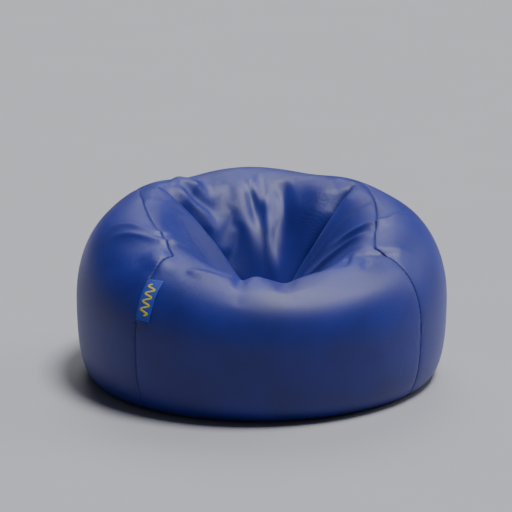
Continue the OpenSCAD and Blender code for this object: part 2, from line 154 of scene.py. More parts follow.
# %% A grid of directions for each panel
def box_face(name, n_across, n_up):
    """Directions over one box face: rows go across it and columns up it."""
    across, up = np.meshgrid(bend(np.linspace(-1, 1, n_across + 1)),
                             bend(np.linspace(-1, 1, n_up + 1)), indexing="ij")
    one = np.ones_like(across)
    corners = {
        "left": (-one, -across, up),
        "right": (one, across, up),
        "front": (across, -one, up),
        "back": (-across, one, up),
        "top": (across, up, one),
        "base": (across, -up, -one),
    }
    return box_direction(*corners[name])


# %% [markdown]
# ## Folds
# The seat hollow is pushed into a bag whose cloth was cut to be full, so the
# spare cloth gathers in folds that run down to the bottom of the seat. Two deep
# creases part the arms from the backrest. The folds could be left to a cloth
# simulation alone, but then they fall somewhere else each time the bag changes.
# We draw the main folds first, as lines seen from above, each with its height
# and its width, and let the simulation soften them afterwards.

# %% The main folds, seen from above, in metres
# Each fold: its line from the rim inwards, then its height, its half width, and
# for a crease the side that bulges over it.
DEEP_CREASES = [
    # line, bulge height and width, recess depth and width, roll, bulging side
    ([(0.300, 0.190), (0.254, 0.151), (0.222, 0.122), (0.199, 0.100), (0.146, 0.078),
      (0.111, 0.066), (0.050, 0.030), (0.010, 0.004)],
     0.008, 0.075, 0.058, 0.018, 0.017, 1),
    ([(-0.300, 0.225), (-0.235, 0.185), (-0.195, 0.158), (-0.165, 0.147), (-0.140, 0.140),
      (-0.114, 0.133), (-0.081, 0.114), (-0.050, 0.090), (0.000, 0.050), (0.030, 0.010)],
     0.016, 0.080, 0.046, 0.045, 0.017, -1),
]
SOFT_FOLDS = [
    # line, height (below zero is a valley), half width
    ([(-0.225, 0.242), (-0.202, 0.212), (-0.175, 0.196), (-0.141, 0.187), (-0.109, 0.178),
      (-0.080, 0.160)], 0.009, 0.018),
    ([(-0.230, 0.272), (-0.201, 0.262), (-0.168, 0.259), (-0.141, 0.250), (-0.108, 0.240)],
     0.015, 0.021),
    ([(-0.200, 0.238), (-0.150, 0.217), (-0.105, 0.208), (-0.070, 0.190)], -0.007, 0.018),
    ([(0.000, 0.330), (0.008, 0.300), (0.020, 0.268), (0.034, 0.234), (0.040, 0.205)],
     0.006, 0.016),
    ([(-0.034, 0.330), (-0.029, 0.291), (-0.025, 0.251), (-0.020, 0.204), (-0.005, 0.173),
      (0.007, 0.140), (0.015, 0.104), (0.018, 0.070)], 0.012, 0.034),
    ([(0.000, 0.275), (0.003, 0.251), (0.008, 0.224), (0.011, 0.204), (0.018, 0.180)],
     -0.005, 0.014),
    ([(0.066, 0.310), (0.059, 0.260), (0.047, 0.227), (0.042, 0.199), (0.041, 0.164),
      (0.042, 0.128), (0.045, 0.096), (0.045, 0.060)], 0.009, 0.016),
    ([(0.062, 0.280), (0.073, 0.240), (0.073, 0.211), (0.058, 0.182), (0.050, 0.160)],
     0.004, 0.011),
    ([(0.036, 0.240), (0.032, 0.216), (0.027, 0.182), (0.026, 0.137), (0.030, 0.090)],
     -0.003, 0.014),
    ([(0.098, 0.290), (0.095, 0.260), (0.092, 0.219), (0.087, 0.178), (0.073, 0.131),
      (0.065, 0.090)], -0.009, 0.028),
    ([(0.215, 0.225), (0.186, 0.190), (0.166, 0.169), (0.146, 0.150), (0.115, 0.120)],
     0.006, 0.036),
    ([(0.285, 0.215), (0.250, 0.176), (0.215, 0.145), (0.180, 0.120)], -0.004, 0.032),
    ([(0.262, 0.160), (0.226, 0.128), (0.199, 0.104), (0.150, 0.082), (0.111, 0.068),
      (0.060, 0.040)], -0.018, 0.010),
    ([(-0.065, -0.190), (-0.088, -0.290), (-0.104, -0.350), (-0.112, -0.420)], -0.010, 0.018),
    ([(-0.040, -0.200), (-0.054, -0.300), (-0.064, -0.380)], 0.005, 0.020),
    ([(0.036, -0.190), (0.016, -0.310), (0.006, -0.370), (0.000, -0.430)], -0.011, 0.030),
    ([(-0.225, -0.265), (-0.185, -0.285), (-0.140, -0.305), (-0.105, -0.325)], -0.002, 0.018),
    ([(-0.235, -0.300), (-0.211, -0.307), (-0.164, -0.328), (-0.111, -0.359)], 0.005, 0.014),
    ([(0.060, -0.330), (0.130, -0.330), (0.200, -0.315), (0.280, -0.290)], 0.006, 0.030),
    ([(0.124, -0.215), (0.114, -0.270), (0.098, -0.330)], -0.007, 0.012),
    ([(0.190, -0.220), (0.180, -0.268), (0.160, -0.325)], -0.007, 0.011),
    ([(0.236, -0.262), (0.226, -0.290), (0.206, -0.330)], -0.004, 0.011),
]
SHARP_FOLDS = [
    ([(0.430, -0.010), (0.372, -0.064), (0.310, -0.110), (0.255, -0.108), (0.210, -0.062),
      (0.175, 0.000)], 0.018, 0.013),
    ([(0.290, -0.165), (0.245, -0.150), (0.212, -0.135), (0.184, -0.104), (0.150, -0.056),
      (0.110, -0.020)], 0.016, 0.012),
    ([(0.190, -0.175), (0.230, -0.212), (0.275, -0.232), (0.331, -0.230), (0.370, -0.205)],
     0.006, 0.018),
    ([(-0.420, -0.020), (-0.363, -0.069), (-0.300, -0.128), (-0.245, -0.108),
      (-0.200, -0.040), (-0.165, 0.020)], 0.014, 0.013),
    ([(-0.420, -0.070), (-0.366, -0.116), (-0.290, -0.170), (-0.235, -0.150),
      (-0.185, -0.080), (-0.140, 0.000)], 0.015, 0.013),
    ([(-0.315, 0.070), (-0.285, 0.086), (-0.244, 0.105), (-0.195, 0.128)], 0.005, 0.014),
    ([(0.180, -0.235), (0.215, -0.250), (0.250, -0.257), (0.300, -0.252), (0.340, -0.232)],
     -0.011, 0.013),
    ([(-0.340, -0.250), (-0.318, -0.280), (-0.285, -0.302), (-0.245, -0.306)], -0.003, 0.014),
]
# Broad swells and sags: place, radius and height
SWELLS = [
    (0.350, 0.130, 0.100, -0.006),
    (-0.375, 0.130, 0.100, -0.006),
    (-0.300, -0.244, 0.036, 0.011),
    (0.010, 0.372, 0.110, 0.009),
    (-0.170, 0.335, 0.070, -0.008),
    (0.205, 0.330, 0.080, -0.006),
]


# %% How far a point is from a fold's line
def smooth_line(points, steps=12):
    """A rounded line through the points."""
    p = np.array(points, float)
    p = np.vstack([2 * p[0] - p[1], p, 2 * p[-1] - p[-2]])
    out = []
    for k in range(1, len(p) - 2):
        for s in np.linspace(0, 1, steps, endpoint=False):
            a, b, c, d = p[k - 1], p[k], p[k + 1], p[k + 2]
            out.append(0.5 * (2 * b + (c - a) * s + (2 * a - 5 * b + 4 * c - d) * s ** 2
                              + (3 * b - a - 3 * c + d) * s ** 3))
    out.append(p[-2])
    return np.array(out)


def along_and_aside(x, y, points):
    """Share of the way along a line, and signed distance to its left."""
    line = smooth_line(points)
    best = np.full(x.shape, 1e9)
    share = np.zeros(x.shape)
    aside = np.zeros(x.shape)
    for k in range(len(line) - 1):
        a, d = line[k], line[k + 1] - line[k]
        length2 = float(d @ d)
        s = ((x - a[0]) * d[0] + (y - a[1]) * d[1]) / length2
        inside = np.clip(s, 0, 1)
        dx = x - a[0] - inside * d[0]
        dy = y - a[1] - inside * d[1]
        far = np.hypot(dx, dy)
        side = np.sign(d[0] * dy - d[1] * dx)
        nearer = far < best
        best = np.where(nearer, far, best)
        share = np.where(nearer, (k + inside) / (len(line) - 1), share)
        aside = np.where(nearer, far * side, aside)
    return share, aside


def fade(share, start, end):
    """0 at the two ends of a fold, rising to 1 within start and end of it."""
    rise = np.clip(share / start, 0, 1)
    fall = np.clip((1 - share) / end, 0, 1)
    return (rise * rise * (3 - 2 * rise)) * (fall * fall * (3 - 2 * fall))


# %% The height of all folds at a point
DEEPEST_FOLD = 0.060
CREASE_FADE = (0.35, 0.12)       # share of a fold's length over which its ends die out
SOFT_FADE = (0.3, 0.4)
SHARP_FADE = (0.3, 0.35)
RIDGE_TOP = 0.05                 # rounds the top of a sharp fold


def fold_height(x, y):
    """Height of the folds over the smooth bag, along its surface's normal."""
    total = np.zeros(x.shape)
    for line, bulge, wide, recess, recess_wide, roll, side in DEEP_CREASES:
        share, aside = along_and_aside(x, y, line)
        s = aside * side
        strength = fade(share, *CREASE_FADE)
        rolled = 1 - np.exp(-(np.maximum(s, 0) / roll) ** 1.4)
        over = bulge * rolled * np.exp(-(s / wide) ** 2) - recess * (1 - rolled)
        under = -recess * np.exp(-np.maximum(-s, 0) / recess_wide)
        total += strength * np.where(s > 0, over, under)
    for line, height, wide in SOFT_FOLDS:
        share, aside = along_and_aside(x, y, line)
        total += height * fade(share, *SOFT_FADE) * np.exp(-(aside / wide) ** 2)
    for line, height, wide in SHARP_FOLDS:
        share, aside = along_and_aside(x, y, line)
        ridge = np.exp(-np.sqrt((aside / wide) ** 2 + RIDGE_TOP))
        total += height * fade(share, *SHARP_FADE) * ridge
    for middle_x, middle_y, radius, height in SWELLS:
        total += height * np.exp(-((x - middle_x) ** 2 + (y - middle_y) ** 2) / radius ** 2)
    return np.maximum(total, -DEEPEST_FOLD)


# %% [markdown]
# ## One skin for the whole bag
# The whole bag is first built as one closed skin, because cloth simulation and
# smoothing must not see the seams. Only after that is it parted into panels.

# %% Build the welded skin
STEPS = 96                      # cells along each edge of a box face
FACE_NAMES = ("left", "right", "front", "back", "top", "base")


def surface_normals(points, quads):
    """Unit normals at the points of a quad mesh."""
    a, b, c, d = (points[quads[:, k]] for k in range(4))
    face = np.cross(c - a, d - b)
    normal = np.zeros_like(points)
    for k in range(4):
        np.add.at(normal, quads[:, k], face)
    return normal / np.maximum(np.linalg.norm(normal, axis=1, keepdims=True), 1e-12)


def welded_skin(n):
    """Directions, quads, and each face's grid of point numbers."""
    grids = {name: box_face(name, n, n) for name in FACE_NAMES}
    flat = np.concatenate([grids[name].reshape(-1, 3) for name in FACE_NAMES])
    _, first, number = np.unique(np.round(flat, 7), axis=0, return_index=True,
                                 return_inverse=True)
    number = number.reshape(-1)
    quads = []
    numbered = {}
    for k, name in enumerate(FACE_NAMES):
        start = k * (n + 1) ** 2
        grid = number[start:start + (n + 1) ** 2].reshape(n + 1, n + 1)
        numbered[name] = grid
        quads.append(np.stack([grid[:-1, :-1], grid[1:, :-1], grid[1:, 1:], grid[:-1, 1:]],
                              -1).reshape(-1, 4))
    return flat[first], np.concatenate(quads), numbered


directions, skin_quads, skin_grids = welded_skin(STEPS)
skin_angle, skin_heading = angles_of(directions)
smooth_skin = bag_point(skin_angle, skin_heading)
smooth_normal = surface_normals(smooth_skin, skin_quads)
FOLDS_FROM, FOLDS_FULL = 92, 112  # angles between which the folds grow to full height
upper = stretch(skin_angle, FOLDS_FROM, FOLDS_FULL)
height = fold_height(smooth_skin[:, 0], smooth_skin[:, 1]) * upper
draft_skin = smooth_skin + smooth_normal * height[:, None]
print("skin points", len(draft_skin), "highest fold", round(float(height.max()), 3),
      "deepest", round(float(height.min()), 3))


# %% [markdown]
# ## Let the cloth settle
# Drawn folds alone look carved. On the real bag the cloth has some spare length,
# is stiff against bending and rests on beads, so between the large folds it
# shows small soft wrinkles. We hold the skin in its place with weak springs, give
# it a little spare cloth where the seat gathers it, and let Blender's Cloth find
# the wrinkles in a few frames. The base is held harder.

# %% Settle the skin
SPARE_CLOTH = 0.030            # how much longer the cloth is cut in the seat
SPARE_CLOTH_WALL = 0.004
SETTLE_FRAMES = 18
FARTHEST_MOVE = 0.014          # metres that settling may move a point
BAG_MIDDLE = np.array([0.0, 0.0, 0.25])


def mesh_object(name, points, faces):
    """A smooth-shaded mesh object in the scene."""
    mesh = bpy.data.meshes.new(name)
    faces = faces.tolist() if isinstance(faces, np.ndarray) else faces
    mesh.from_pydata(np.asarray(points, float).tolist(), [], faces)
    mesh.update()
    mesh.polygons.foreach_set("use_smooth", [True] * len(mesh.polygons))
    made = bpy.data.objects.new(name, mesh)
    bpy.context.collection.objects.link(made)
    return made


HOLD_STEPS = 10                # how finely the hold is graded


def settle(points, quads, hold, spare):
    """Points after a short cloth simulation; hold and spare are given per point."""
    trial = mesh_object("settling", points, quads)
    pins = trial.vertex_groups.new(name="hold")
    for k in range(HOLD_STEPS + 1):
        chosen = np.nonzero(np.round(hold * HOLD_STEPS).astype(int) == k)[0]
        if len(chosen):
            pins.add(chosen.tolist(), k / HOLD_STEPS, "REPLACE")
    trial.shape_key_add(name="Basis")
    cut = trial.shape_key_add(name="cut")
    longer = BAG_MIDDLE + (points - BAG_MIDDLE) * (1 + spare[:, None])
    cut.data.foreach_set("co", longer.ravel())
    cloth = trial.modifiers.new("cloth", "CLOTH")
    settings = cloth.settings
    settings.quality = 5
    settings.mass = 0.4
    settings.tension_stiffness = 25
    settings.compression_stiffness = 25
    settings.shear_stiffness = 12
    settings.bending_stiffness = 0.6
    settings.vertex_group_mass = "hold"
    settings.pin_stiffness = 1.0
    settings.rest_shape_key = cut
    settings.use_pressure = True
    settings.uniform_pressure_force = 0.6
    settings.effector_weights.gravity = 0
    cloth.collision_settings.use_collision = False
    cloth.point_cache.frame_start = 1
    cloth.point_cache.frame_end = SETTLE_FRAMES
    scene = bpy.context.scene
    for frame_number in range(1, SETTLE_FRAMES + 1):
        scene.frame_set(frame_number)
    shown = trial.evaluated_get(bpy.context.evaluated_depsgraph_get())
    settled = np.empty(len(points) * 3)
    shown.data.vertices.foreach_get("co", settled)
    settled = settled.reshape(-1, 3)
    scene.frame_set(1)
    bpy.data.objects.remove(trial)
    move = settled - points
    far = np.linalg.norm(move, axis=1, keepdims=True)
    move *= np.minimum(1, FARTHEST_MOVE / np.maximum(far, 1e-9))
    print("cloth moved points by up to", round(float(far.max()) * 1000, 1), "mm, mean",
          round(float(far.mean()) * 1000, 2), "mm")
    return points + move


HOLD_WALL, HOLD_FLOOR, SEAT_LOOSER = 0.12, 0.88, 0.08
in_seat = stretch(skin_angle, 100, 125)
on_floor = 1 - stretch(skin_angle, 50, 62)
hold = np.clip(HOLD_WALL + HOLD_FLOOR * on_floor - SEAT_LOOSER * in_seat, 0, 1)
spare = SPARE_CLOTH_WALL + (SPARE_CLOTH - SPARE_CLOTH_WALL) * in_seat
spare = spare * (1 - on_floor)
skin = settle(draft_skin, skin_quads, hold, spare)
skin[:, 2] = np.maximum(skin[:, 2], 0)

# %% [markdown]
# ## Part the skin into panels
# Each panel is a grid of points, so it can be drawn again at any fineness. A
# smooth curve through the grid's points keeps the folds round. Near a seam the
# lines lie close together, because there the cloth rolls over its turned-in
# edge and puckers between the stitches.

# %% Grids of the panels
def skin_grid(name):
    return skin[skin_grids[name]]


front_grid = skin_grid("front")
top_grid = skin_grid("top")
back_grid = skin_grid("back")[::-1, ::-1]
panel_grids = {
    "left": skin_grid("left"),
    "right": skin_grid("right"),
    "centre": np.concatenate([front_grid, top_grid[:, 1:], back_grid[:, 1:]], axis=1),
}
base_grid = skin_grid("base")


# %% Draw a grid again at other lines
def curve_at(grid, places):
    """Rows of a grid at fractional row numbers, on a smooth curve through them."""
    n = len(grid) - 1
    ends = np.concatenate([2 * grid[:1] - grid[1:2], grid, 2 * grid[-1:] - grid[-2:-1]])
    k = np.clip(np.floor(places).astype(int), 0, n - 1)
    s = (places - k)[:, None, None]
    a, b, c, d = ends[k], ends[k + 1], ends[k + 2], ends[k + 3]
    return 0.5 * (2 * b + (c - a) * s + (2 * a - 5 * b + 4 * c - d) * s ** 2
                  + (3 * b - a - 3 * c + d) * s ** 3)


def redraw(grid, rows, columns):
    """The grid at new row and column places."""
    return curve_at(curve_at(grid, rows).transpose(1, 0, 2), columns).transpose(1, 0, 2)


SEAM_LINES = np.array([0.00015, 0.0006, 0.0014, 0.0024, 0.0036, 0.0052, 0.0075, 0.0105,
                       0.0145, 0.0195])
ROLL = 0.0036                  # radius of the rolled edge at a seam
SEAM_PULL = 0.0022             # how deep the thread pulls the cloth in
SEAM_PULL_REACH = 0.009


def lines_across(length, count, seams=(True, True)):
    """Places from 0 to 1 across a panel, closer together near its seams."""
    close = SEAM_LINES / length
    start = close if seams[0] else np.array([0.0])
    end = 1 - close[::-1] if seams[1] else np.array([1.0])
    spaces = count + 1
    middle = np.linspace(start[-1], end[0], spaces + 1)[1:-1]
    return np.concatenate([start, middle, end])


# %% A panel with rolled seams and puckers
PUCKER_PITCH = 0.013
PUCKER_HEIGHT = 0.0011
PUCKER_PLACE = 0.004             # distance from the seam where puckers are highest
PUCKER_REACH = 0.010
CLOTH = 0.0015


def grid_lengths(grid):
    """Distance along each row-wise line of a grid, from its first row."""
    step = np.linalg.norm(np.diff(grid, axis=0), axis=2)
    return np.concatenate([np.zeros((1, grid.shape[1])), np.cumsum(step, axis=0)])


def grid_normals(grid, outward):
    """Unit normals of a grid, turned to point outwards."""
    a = np.gradient(grid, axis=0)
    b = np.gradient(grid, axis=1)
    n = np.cross(a, b)
    n /= np.maximum(np.linalg.norm(n, axis=2, keepdims=True), 1e-12)
    return n * outward


def pucker_wave(along, from_edge, shift):
    """Small gathers between stitches that die out away from the seam."""
    wander = 1.9 * np.sin(along * 23.0 + shift) + 1.1 * np.sin(along * 57.0 + 2 * shift)
    strength = 0.55 + 0.45 * np.sin(along * 31.0 + 3.1 * shift)
    wave = np.cos(along * 2 * math.pi / PUCKER_PITCH + wander)
    return PUCKER_HEIGHT * strength * wave * np.exp(-((from_edge - PUCKER_PLACE)
                                                      / PUCKER_REACH) ** 2)


def seam_dip(from_edge):
    """How deep the cloth lies at a distance from the seam."""
    inside = np.clip(ROLL - from_edge, 0, ROLL)
    roll = ROLL - np.sqrt(np.maximum(ROLL ** 2 - inside ** 2, 0))
    return roll + SEAM_PULL * np.exp(-from_edge / SEAM_PULL_REACH)


def panel_grid(grid, n_rows, n_columns, seams, outward, shift):
    """A fine grid of a panel's outer face; seams says which of its edges are sewn."""
    rows_long = float(np.median(grid_lengths(grid)[-1]))
    cols_long = float(np.median(grid_lengths(grid.transpose(1, 0, 2))[-1]))
    rows = lines_across(rows_long, n_rows, seams[:2]) * (len(grid) - 1)
    cols = lines_across(cols_long, n_columns, seams[2:]) * (grid.shape[1] - 1)
    fine = redraw(grid, rows, cols)
    u = grid_lengths(fine)
    v = grid_lengths(fine.transpose(1, 0, 2)).T
    normal = grid_normals(fine, outward)
    far = np.full(u.shape, 9.0)
    along = np.zeros(u.shape)
    for sewn, distance, run in ((seams[0], u, v), (seams[1], u[-1:] - u, v + 7),
                                (seams[2], v, u + 3), (seams[3], v[:, -1:] - v, u + 11)):
        if sewn:
            nearer = distance < far
            far = np.where(nearer, distance, far)
            along = np.where(nearer, run, along)
    dip = seam_dip(far) - pucker_wave(along, far, shift)
    return fine - normal * dip[..., None], normal, u, v


def edge_ring(n, m):
    """Row and column numbers of a grid's border, all the way round."""
    return np.concatenate([np.stack([np.arange(n - 1), np.zeros(n - 1, int)], 1),
                           np.stack([np.full(m - 1, n - 1), np.arange(m - 1)], 1),
                           np.stack([np.arange(n - 1, 0, -1), np.full(n - 1, m - 1)], 1),
                           np.stack([np.zeros(m - 1, int), np.arange(m - 1, 0, -1)], 1)])


def grid_quads(number):
    return np.stack([number[:-1, :-1], number[1:, :-1], number[1:, 1:], number[:-1, 1:]],
                    -1).reshape(-1, 4)


def thick_sheet(outer, normal, cloth, skirt=0.0, hidden_lines=0):
    """Points and faces of a closed sheet. With a skirt, its edges turn inwards by
    that much, as a seam allowance does, and the inner face starts a few lines in."""
    n, m = outer.shape[:2]
    k = hidden_lines
    number = np.arange(n * m).reshape(n, m)
    inner = (outer - normal * cloth)[k:n - k, k:m - k]
    inner_number = n * m + np.arange(inner.shape[0] * inner.shape[1]).reshape(inner.shape[:2])
    points = np.concatenate([outer.reshape(-1, 3), inner.reshape(-1, 3)])
    ring = edge_ring(n, m)
    top = number[ring[:, 0], ring[:, 1]]
    under = inner_number[np.clip(ring[:, 0], k, n - 1 - k) - k,
                         np.clip(ring[:, 1], k, m - 1 - k) - k]
    rings = [top]
    if skirt:
        out = normal[ring[:, 0], ring[:, 1]]
        low = points[top] - out * skirt
        inwards = points[under] - points[top]
        inwards -= out * np.sum(inwards * out, axis=1, keepdims=True)
        inwards /= np.maximum(np.linalg.norm(inwards, axis=1, keepdims=True), 1e-9)
        base = len(points)
        points = np.concatenate([points, low, low + inwards * cloth])
        rings += [base + np.arange(len(top)), base + len(top) + np.arange(len(top))]
    rings.append(under)
    faces = grid_quads(number).tolist() + grid_quads(inner_number)[:, ::-1].tolist()
    for a, b in zip(rings[:-1], rings[1:]):
        for p, q, r, s in zip(a, b, np.roll(b, -1), np.roll(a, -1)):
            corner = [int(p), int(q)] + ([int(r)] if r != q else []) + ([int(s)] if s != p else [])
            if len(corner) > 2:
                faces.append(corner)
    return points, faces


# %% [markdown]
# ## Materials
# The cover is a tough woven polyester with a satin face: deep blue, with a pale
# sheen where light grazes it. The weave is made from two sets of waves that run
# along the cloth, so it follows each panel's own places, which are stored on its
# points. Fine noise breaks the regularity, and broad noise shifts the shade a
# little, because dyed cloth is never even.

# %% Helpers for materials
def new_material(name):
    made = bpy.data.materials.new(name)
    made.use_nodes = True
    nodes = made.node_tree.nodes
    return made, made.node_tree, nodes["Principled BSDF"]


def add_node(tree, kind, **inputs):
    """A node with the given input values; a value may be another node's output."""
    node = tree.nodes.new(kind)
    for name, value in inputs.items():
        place = int(name[2:]) if name.startswith("in") and name[2:].isdigit() \
            else name.replace("_", " ")
        if isinstance(value, bpy.types.NodeSocket):
            tree.links.new(value, node.inputs[place])
        else:
            node.inputs[place].default_value = value
    return node


def calculate(tree, operation, a, b=0.0, c=0.0):
    node = tree.nodes.new("ShaderNodeMath")
    node.operation = operation
    for place, value in enumerate((a, b, c)):
        if isinstance(value, bpy.types.NodeSocket):
            tree.links.new(value, node.inputs[place])
        else:
            node.inputs[place].default_value = value
    return node.outputs[0]


def cloth_places(tree):
    """The two directions along the cloth, in metres."""
    place = tree.nodes.new("ShaderNodeAttribute")
    place.attribute_name = "cloth_place"
    apart = add_node(tree, "ShaderNodeSeparateXYZ", Vector=place.outputs["Vector"])
    return place.outputs["Vector"], apart.outputs["X"], apart.outputs["Y"]


def shade_between(tree, share, dark, light):
    ramp = tree.nodes.new("ShaderNodeMix")
    ramp.data_type = "RGBA"
    tree.links.new(share, ramp.inputs["Factor"])
    for name, colour in (("A", dark), ("B", light)):
        socket = [s for s in ramp.inputs if s.name == name and s.type == "RGBA"][0]
        socket.default_value = (*colour, 1)
    return [s for s in ramp.outputs if s.type == "RGBA"][0]


def noise(tree, place, scale, detail=2.0, rough=0.5):
    node = add_node(tree, "ShaderNodeTexNoise", Vector=place, Scale=scale, Detail=detail,
                    Roughness=rough)
    return node.outputs["Fac"]


# %% Woven cloth
def woven_cloth(name, dark, light, thread_pitch, roughness, sheen, sheen_tint, bump,
                depth=0.00025):
    """A plain weave: threads over and under each other, with slight unevenness."""
    made, tree, shader = new_material(name)
    place, u, v = cloth_places(tree)
    turn = 2 * math.pi / thread_pitch
    over = calculate(tree, "SINE", calculate(tree, "MULTIPLY", u, turn))
    under = calculate(tree, "SINE", calculate(tree, "MULTIPLY", v, turn))
    weave = calculate(tree, "MULTIPLY", over, under)
    slub = noise(tree, place, 900.0, 1.0)
    grain = noise(tree, place, 260.0, 2.0, 0.6)
    relief = calculate(tree, "MULTIPLY_ADD", slub, 0.8, weave)
    relief = calculate(tree, "MULTIPLY_ADD", grain, 1.6, relief)
    raised = add_node(tree, "ShaderNodeBump", Strength=bump, Distance=depth, Height=relief)
    tree.links.new(raised.outputs["Normal"], shader.inputs["Normal"])
    broad = noise(tree, place, 7.0, 3.0)
    tone = calculate(tree, "MULTIPLY_ADD", weave, 0.10, broad)
    tone = calculate(tree, "MULTIPLY_ADD", grain, 0.35, tone)
    tone = calculate(tree, "MULTIPLY", tone, 0.75)
    tree.links.new(shade_between(tree, tone, dark, light), shader.inputs["Base Color"])
    dull = calculate(tree, "MULTIPLY_ADD", broad, 0.10, roughness - 0.05)
    tree.links.new(dull, shader.inputs["Roughness"])
    shader.inputs["Sheen Weight"].default_value = sheen
    shader.inputs["Sheen Roughness"].default_value = 0.35
    shader.inputs["Sheen Tint"].default_value = (*sheen_tint, 1)
    shader.inputs["Specular IOR Level"].default_value = 0.5
    return made


cover_cloth = woven_cloth("cover_cloth", dark=(0.005, 0.008, 0.085),
                          light=(0.014, 0.026, 0.310), thread_pitch=0.0042,
                          roughness=0.42, sheen=0.14, sheen_tint=(0.45, 0.48, 1.0), bump=0.6)
liner_cloth = woven_cloth("liner_cloth", dark=(0.62, 0.62, 0.60), light=(0.82, 0.82, 0.79),
                          thread_pitch=0.0012, roughness=0.75, sheen=0.2,
                          sheen_tint=(1.0, 1.0, 1.0), bump=0.3)
tape_cloth = woven_cloth("zip_tape", dark=(0.010, 0.014, 0.060), light=(0.020, 0.030, 0.110),
                         thread_pitch=0.0011, roughness=0.65, sheen=0.2,
                         sheen_tint=(0.7, 0.75, 1.0), bump=0.4)
tab_cloth = woven_cloth("tab_cloth", dark=(0.008, 0.028, 0.260), light=(0.020, 0.060, 0.520),
                        thread_pitch=0.0011, roughness=0.62, sheen=0.12,
                        sheen_tint=(0.5, 0.6, 1.0), bump=0.5)
liner_tape_cloth = woven_cloth("liner_tape", dark=(0.60, 0.60, 0.58),
                               light=(0.80, 0.80, 0.77), thread_pitch=0.0011,
                               roughness=0.7, sheen=0.2, sheen_tint=(1.0, 1.0, 1.0), bump=0.4)


# %% Thread, metal, plastic coils and beads
def twisted_thread(name, dark, light, roughness=0.5, sheen=0.3):
    """Sewing thread: fine slanted strands, from the object's own places."""
    made, tree, shader = new_material(name)
    own = tree.nodes.new("ShaderNodeTexCoord").outputs["Object"]
    strand = add_node(tree, "ShaderNodeTexWave", Vector=own, Scale=900.0, Distortion=1.5)
    strand.bands_direction = "DIAGONAL"
    raised = add_node(tree, "ShaderNodeBump", Strength=0.5, Distance=0.0001,
                      Height=strand.outputs["Fac"])
    tree.links.new(raised.outputs["Normal"], shader.inputs["Normal"])
    tree.links.new(shade_between(tree, noise(tree, own, 120.0), dark, light),
                   shader.inputs["Base Color"])
    shader.inputs["Roughness"].default_value = roughness
    shader.inputs["Sheen Weight"].default_value = sheen
    return made


def worn_metal(name, colour):
    """A cast zinc slider: fine brushing, and paler in random patches."""
    made, tree, shader = new_material(name)
    own = tree.nodes.new("ShaderNodeTexCoord").outputs["Object"]
    stretched = add_node(tree, "ShaderNodeMapping", Vector=own, Scale=(300.0, 3000.0, 3000.0))
    brush = noise(tree, stretched.outputs["Vector"], 1.0, 3.0)
    raised = add_node(tree, "ShaderNodeBump", Strength=0.15, Distance=0.0001, Height=brush)
    tree.links.new(raised.outputs["Normal"], shader.inputs["Normal"])
    dark = tuple(0.8 * c for c in colour)
    tree.links.new(shade_between(tree, noise(tree, own, 150.0), dark, colour),
                   shader.inputs["Base Color"])
    shader.inputs["Metallic"].default_value = 1.0
    tree.links.new(calculate(tree, "MULTIPLY_ADD", brush, 0.2, 0.26), shader.inputs["Roughness"])
    return made


def moulded_coil(name, dark, light):
    """Polyester monofilament: smooth and slightly glossy."""
    made, tree, shader = new_material(name)
    own = tree.nodes.new("ShaderNodeTexCoord").outputs["Object"]
    mottle = noise(tree, own, 400.0)
    tree.links.new(shade_between(tree, mottle, dark, light), shader.inputs["Base Color"])
    tree.links.new(calculate(tree, "MULTIPLY_ADD", mottle, 0.12, 0.30),
                   shader.inputs["Roughness"])
    return made


def bead_mass(name):
    """Loose foam beads seen as one mass: rounded cells of about four millimetres, with painted
    shade darkening each cell towards its edge.
    """
    made, tree, shader = new_material(name)
    own = tree.nodes.new("ShaderNodeTexCoord").outputs["Object"]
    cells = add_node(tree, "ShaderNodeTexVoronoi", Vector=own, Scale=250.0)
    bead_dome_and_gap_shade = calculate(tree, "SUBTRACT", 1.0, cells.outputs["Distance"])
    raised = add_node(tree, "ShaderNodeBump", Strength=1.0, Distance=0.002, Height=bead_dome_and_gap_shade)
    tree.links.new(raised.outputs["Normal"], shader.inputs["Normal"])
    # Painted shade: white at each cell's middle and grey towards its edge, where shade falls
    # between the beads.
    tree.links.new(shade_between(tree, bead_dome_and_gap_shade, (0.55, 0.55, 0.55), (0.9, 0.9, 0.9)),
                   shader.inputs["Base Color"])
    shader.inputs["Roughness"].default_value = 0.8
    return made


seam_thread = twisted_thread("seam_thread", (0.030, 0.055, 0.26), (0.06, 0.10, 0.42))
tab_thread = twisted_thread("tab_thread", (0.38, 0.35, 0.004), (0.64, 0.60, 0.012), 0.45, 0.2)
liner_thread = twisted_thread("liner_thread", (0.66, 0.66, 0.64), (0.82, 0.82, 0.80))
zip_metal = worn_metal("zip_metal", (0.55, 0.55, 0.58))
zip_coil = moulded_coil("zip_coil", (0.012, 0.018, 0.07), (0.03, 0.04, 0.14))
liner_coil = moulded_coil("liner_coil", (0.70, 0.70, 0.68), (0.85, 0.85, 0.82))
bead_stuff = bead_mass("beads")
print("materials", len(bpy.data.materials))

# %% [markdown]
# ## The cover's panels
# Two side panels and the long centre panel are the cloth that shows. Each one is
# a closed sheet with an inside, an outside and turned-in edges.

# %% Helper: a piece of cloth
def finish_piece(made, material, body, replaced=()):
    """Give a piece its material, the body it rides on and what it stands for."""
    made.data.materials.append(material)
    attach(made, body)
    if replaced:
        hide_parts(*replaced)
    return made


def face_outwards(made):
    """Turn every face of a closed mesh outwards."""
    work = bmesh.new()
    work.from_mesh(made.data)
    bmesh.ops.recalc_face_normals(work, faces=work.faces)
    work.to_mesh(made.data)
    work.free()


def store_places(made, places):
    """Store the place along the cloth, in metres, on every point of a piece."""
    kept = made.data.attributes.new("cloth_place", "FLOAT_VECTOR", "POINT")
    kept.data.foreach_set("vector", np.asarray(places, np.float32).ravel())


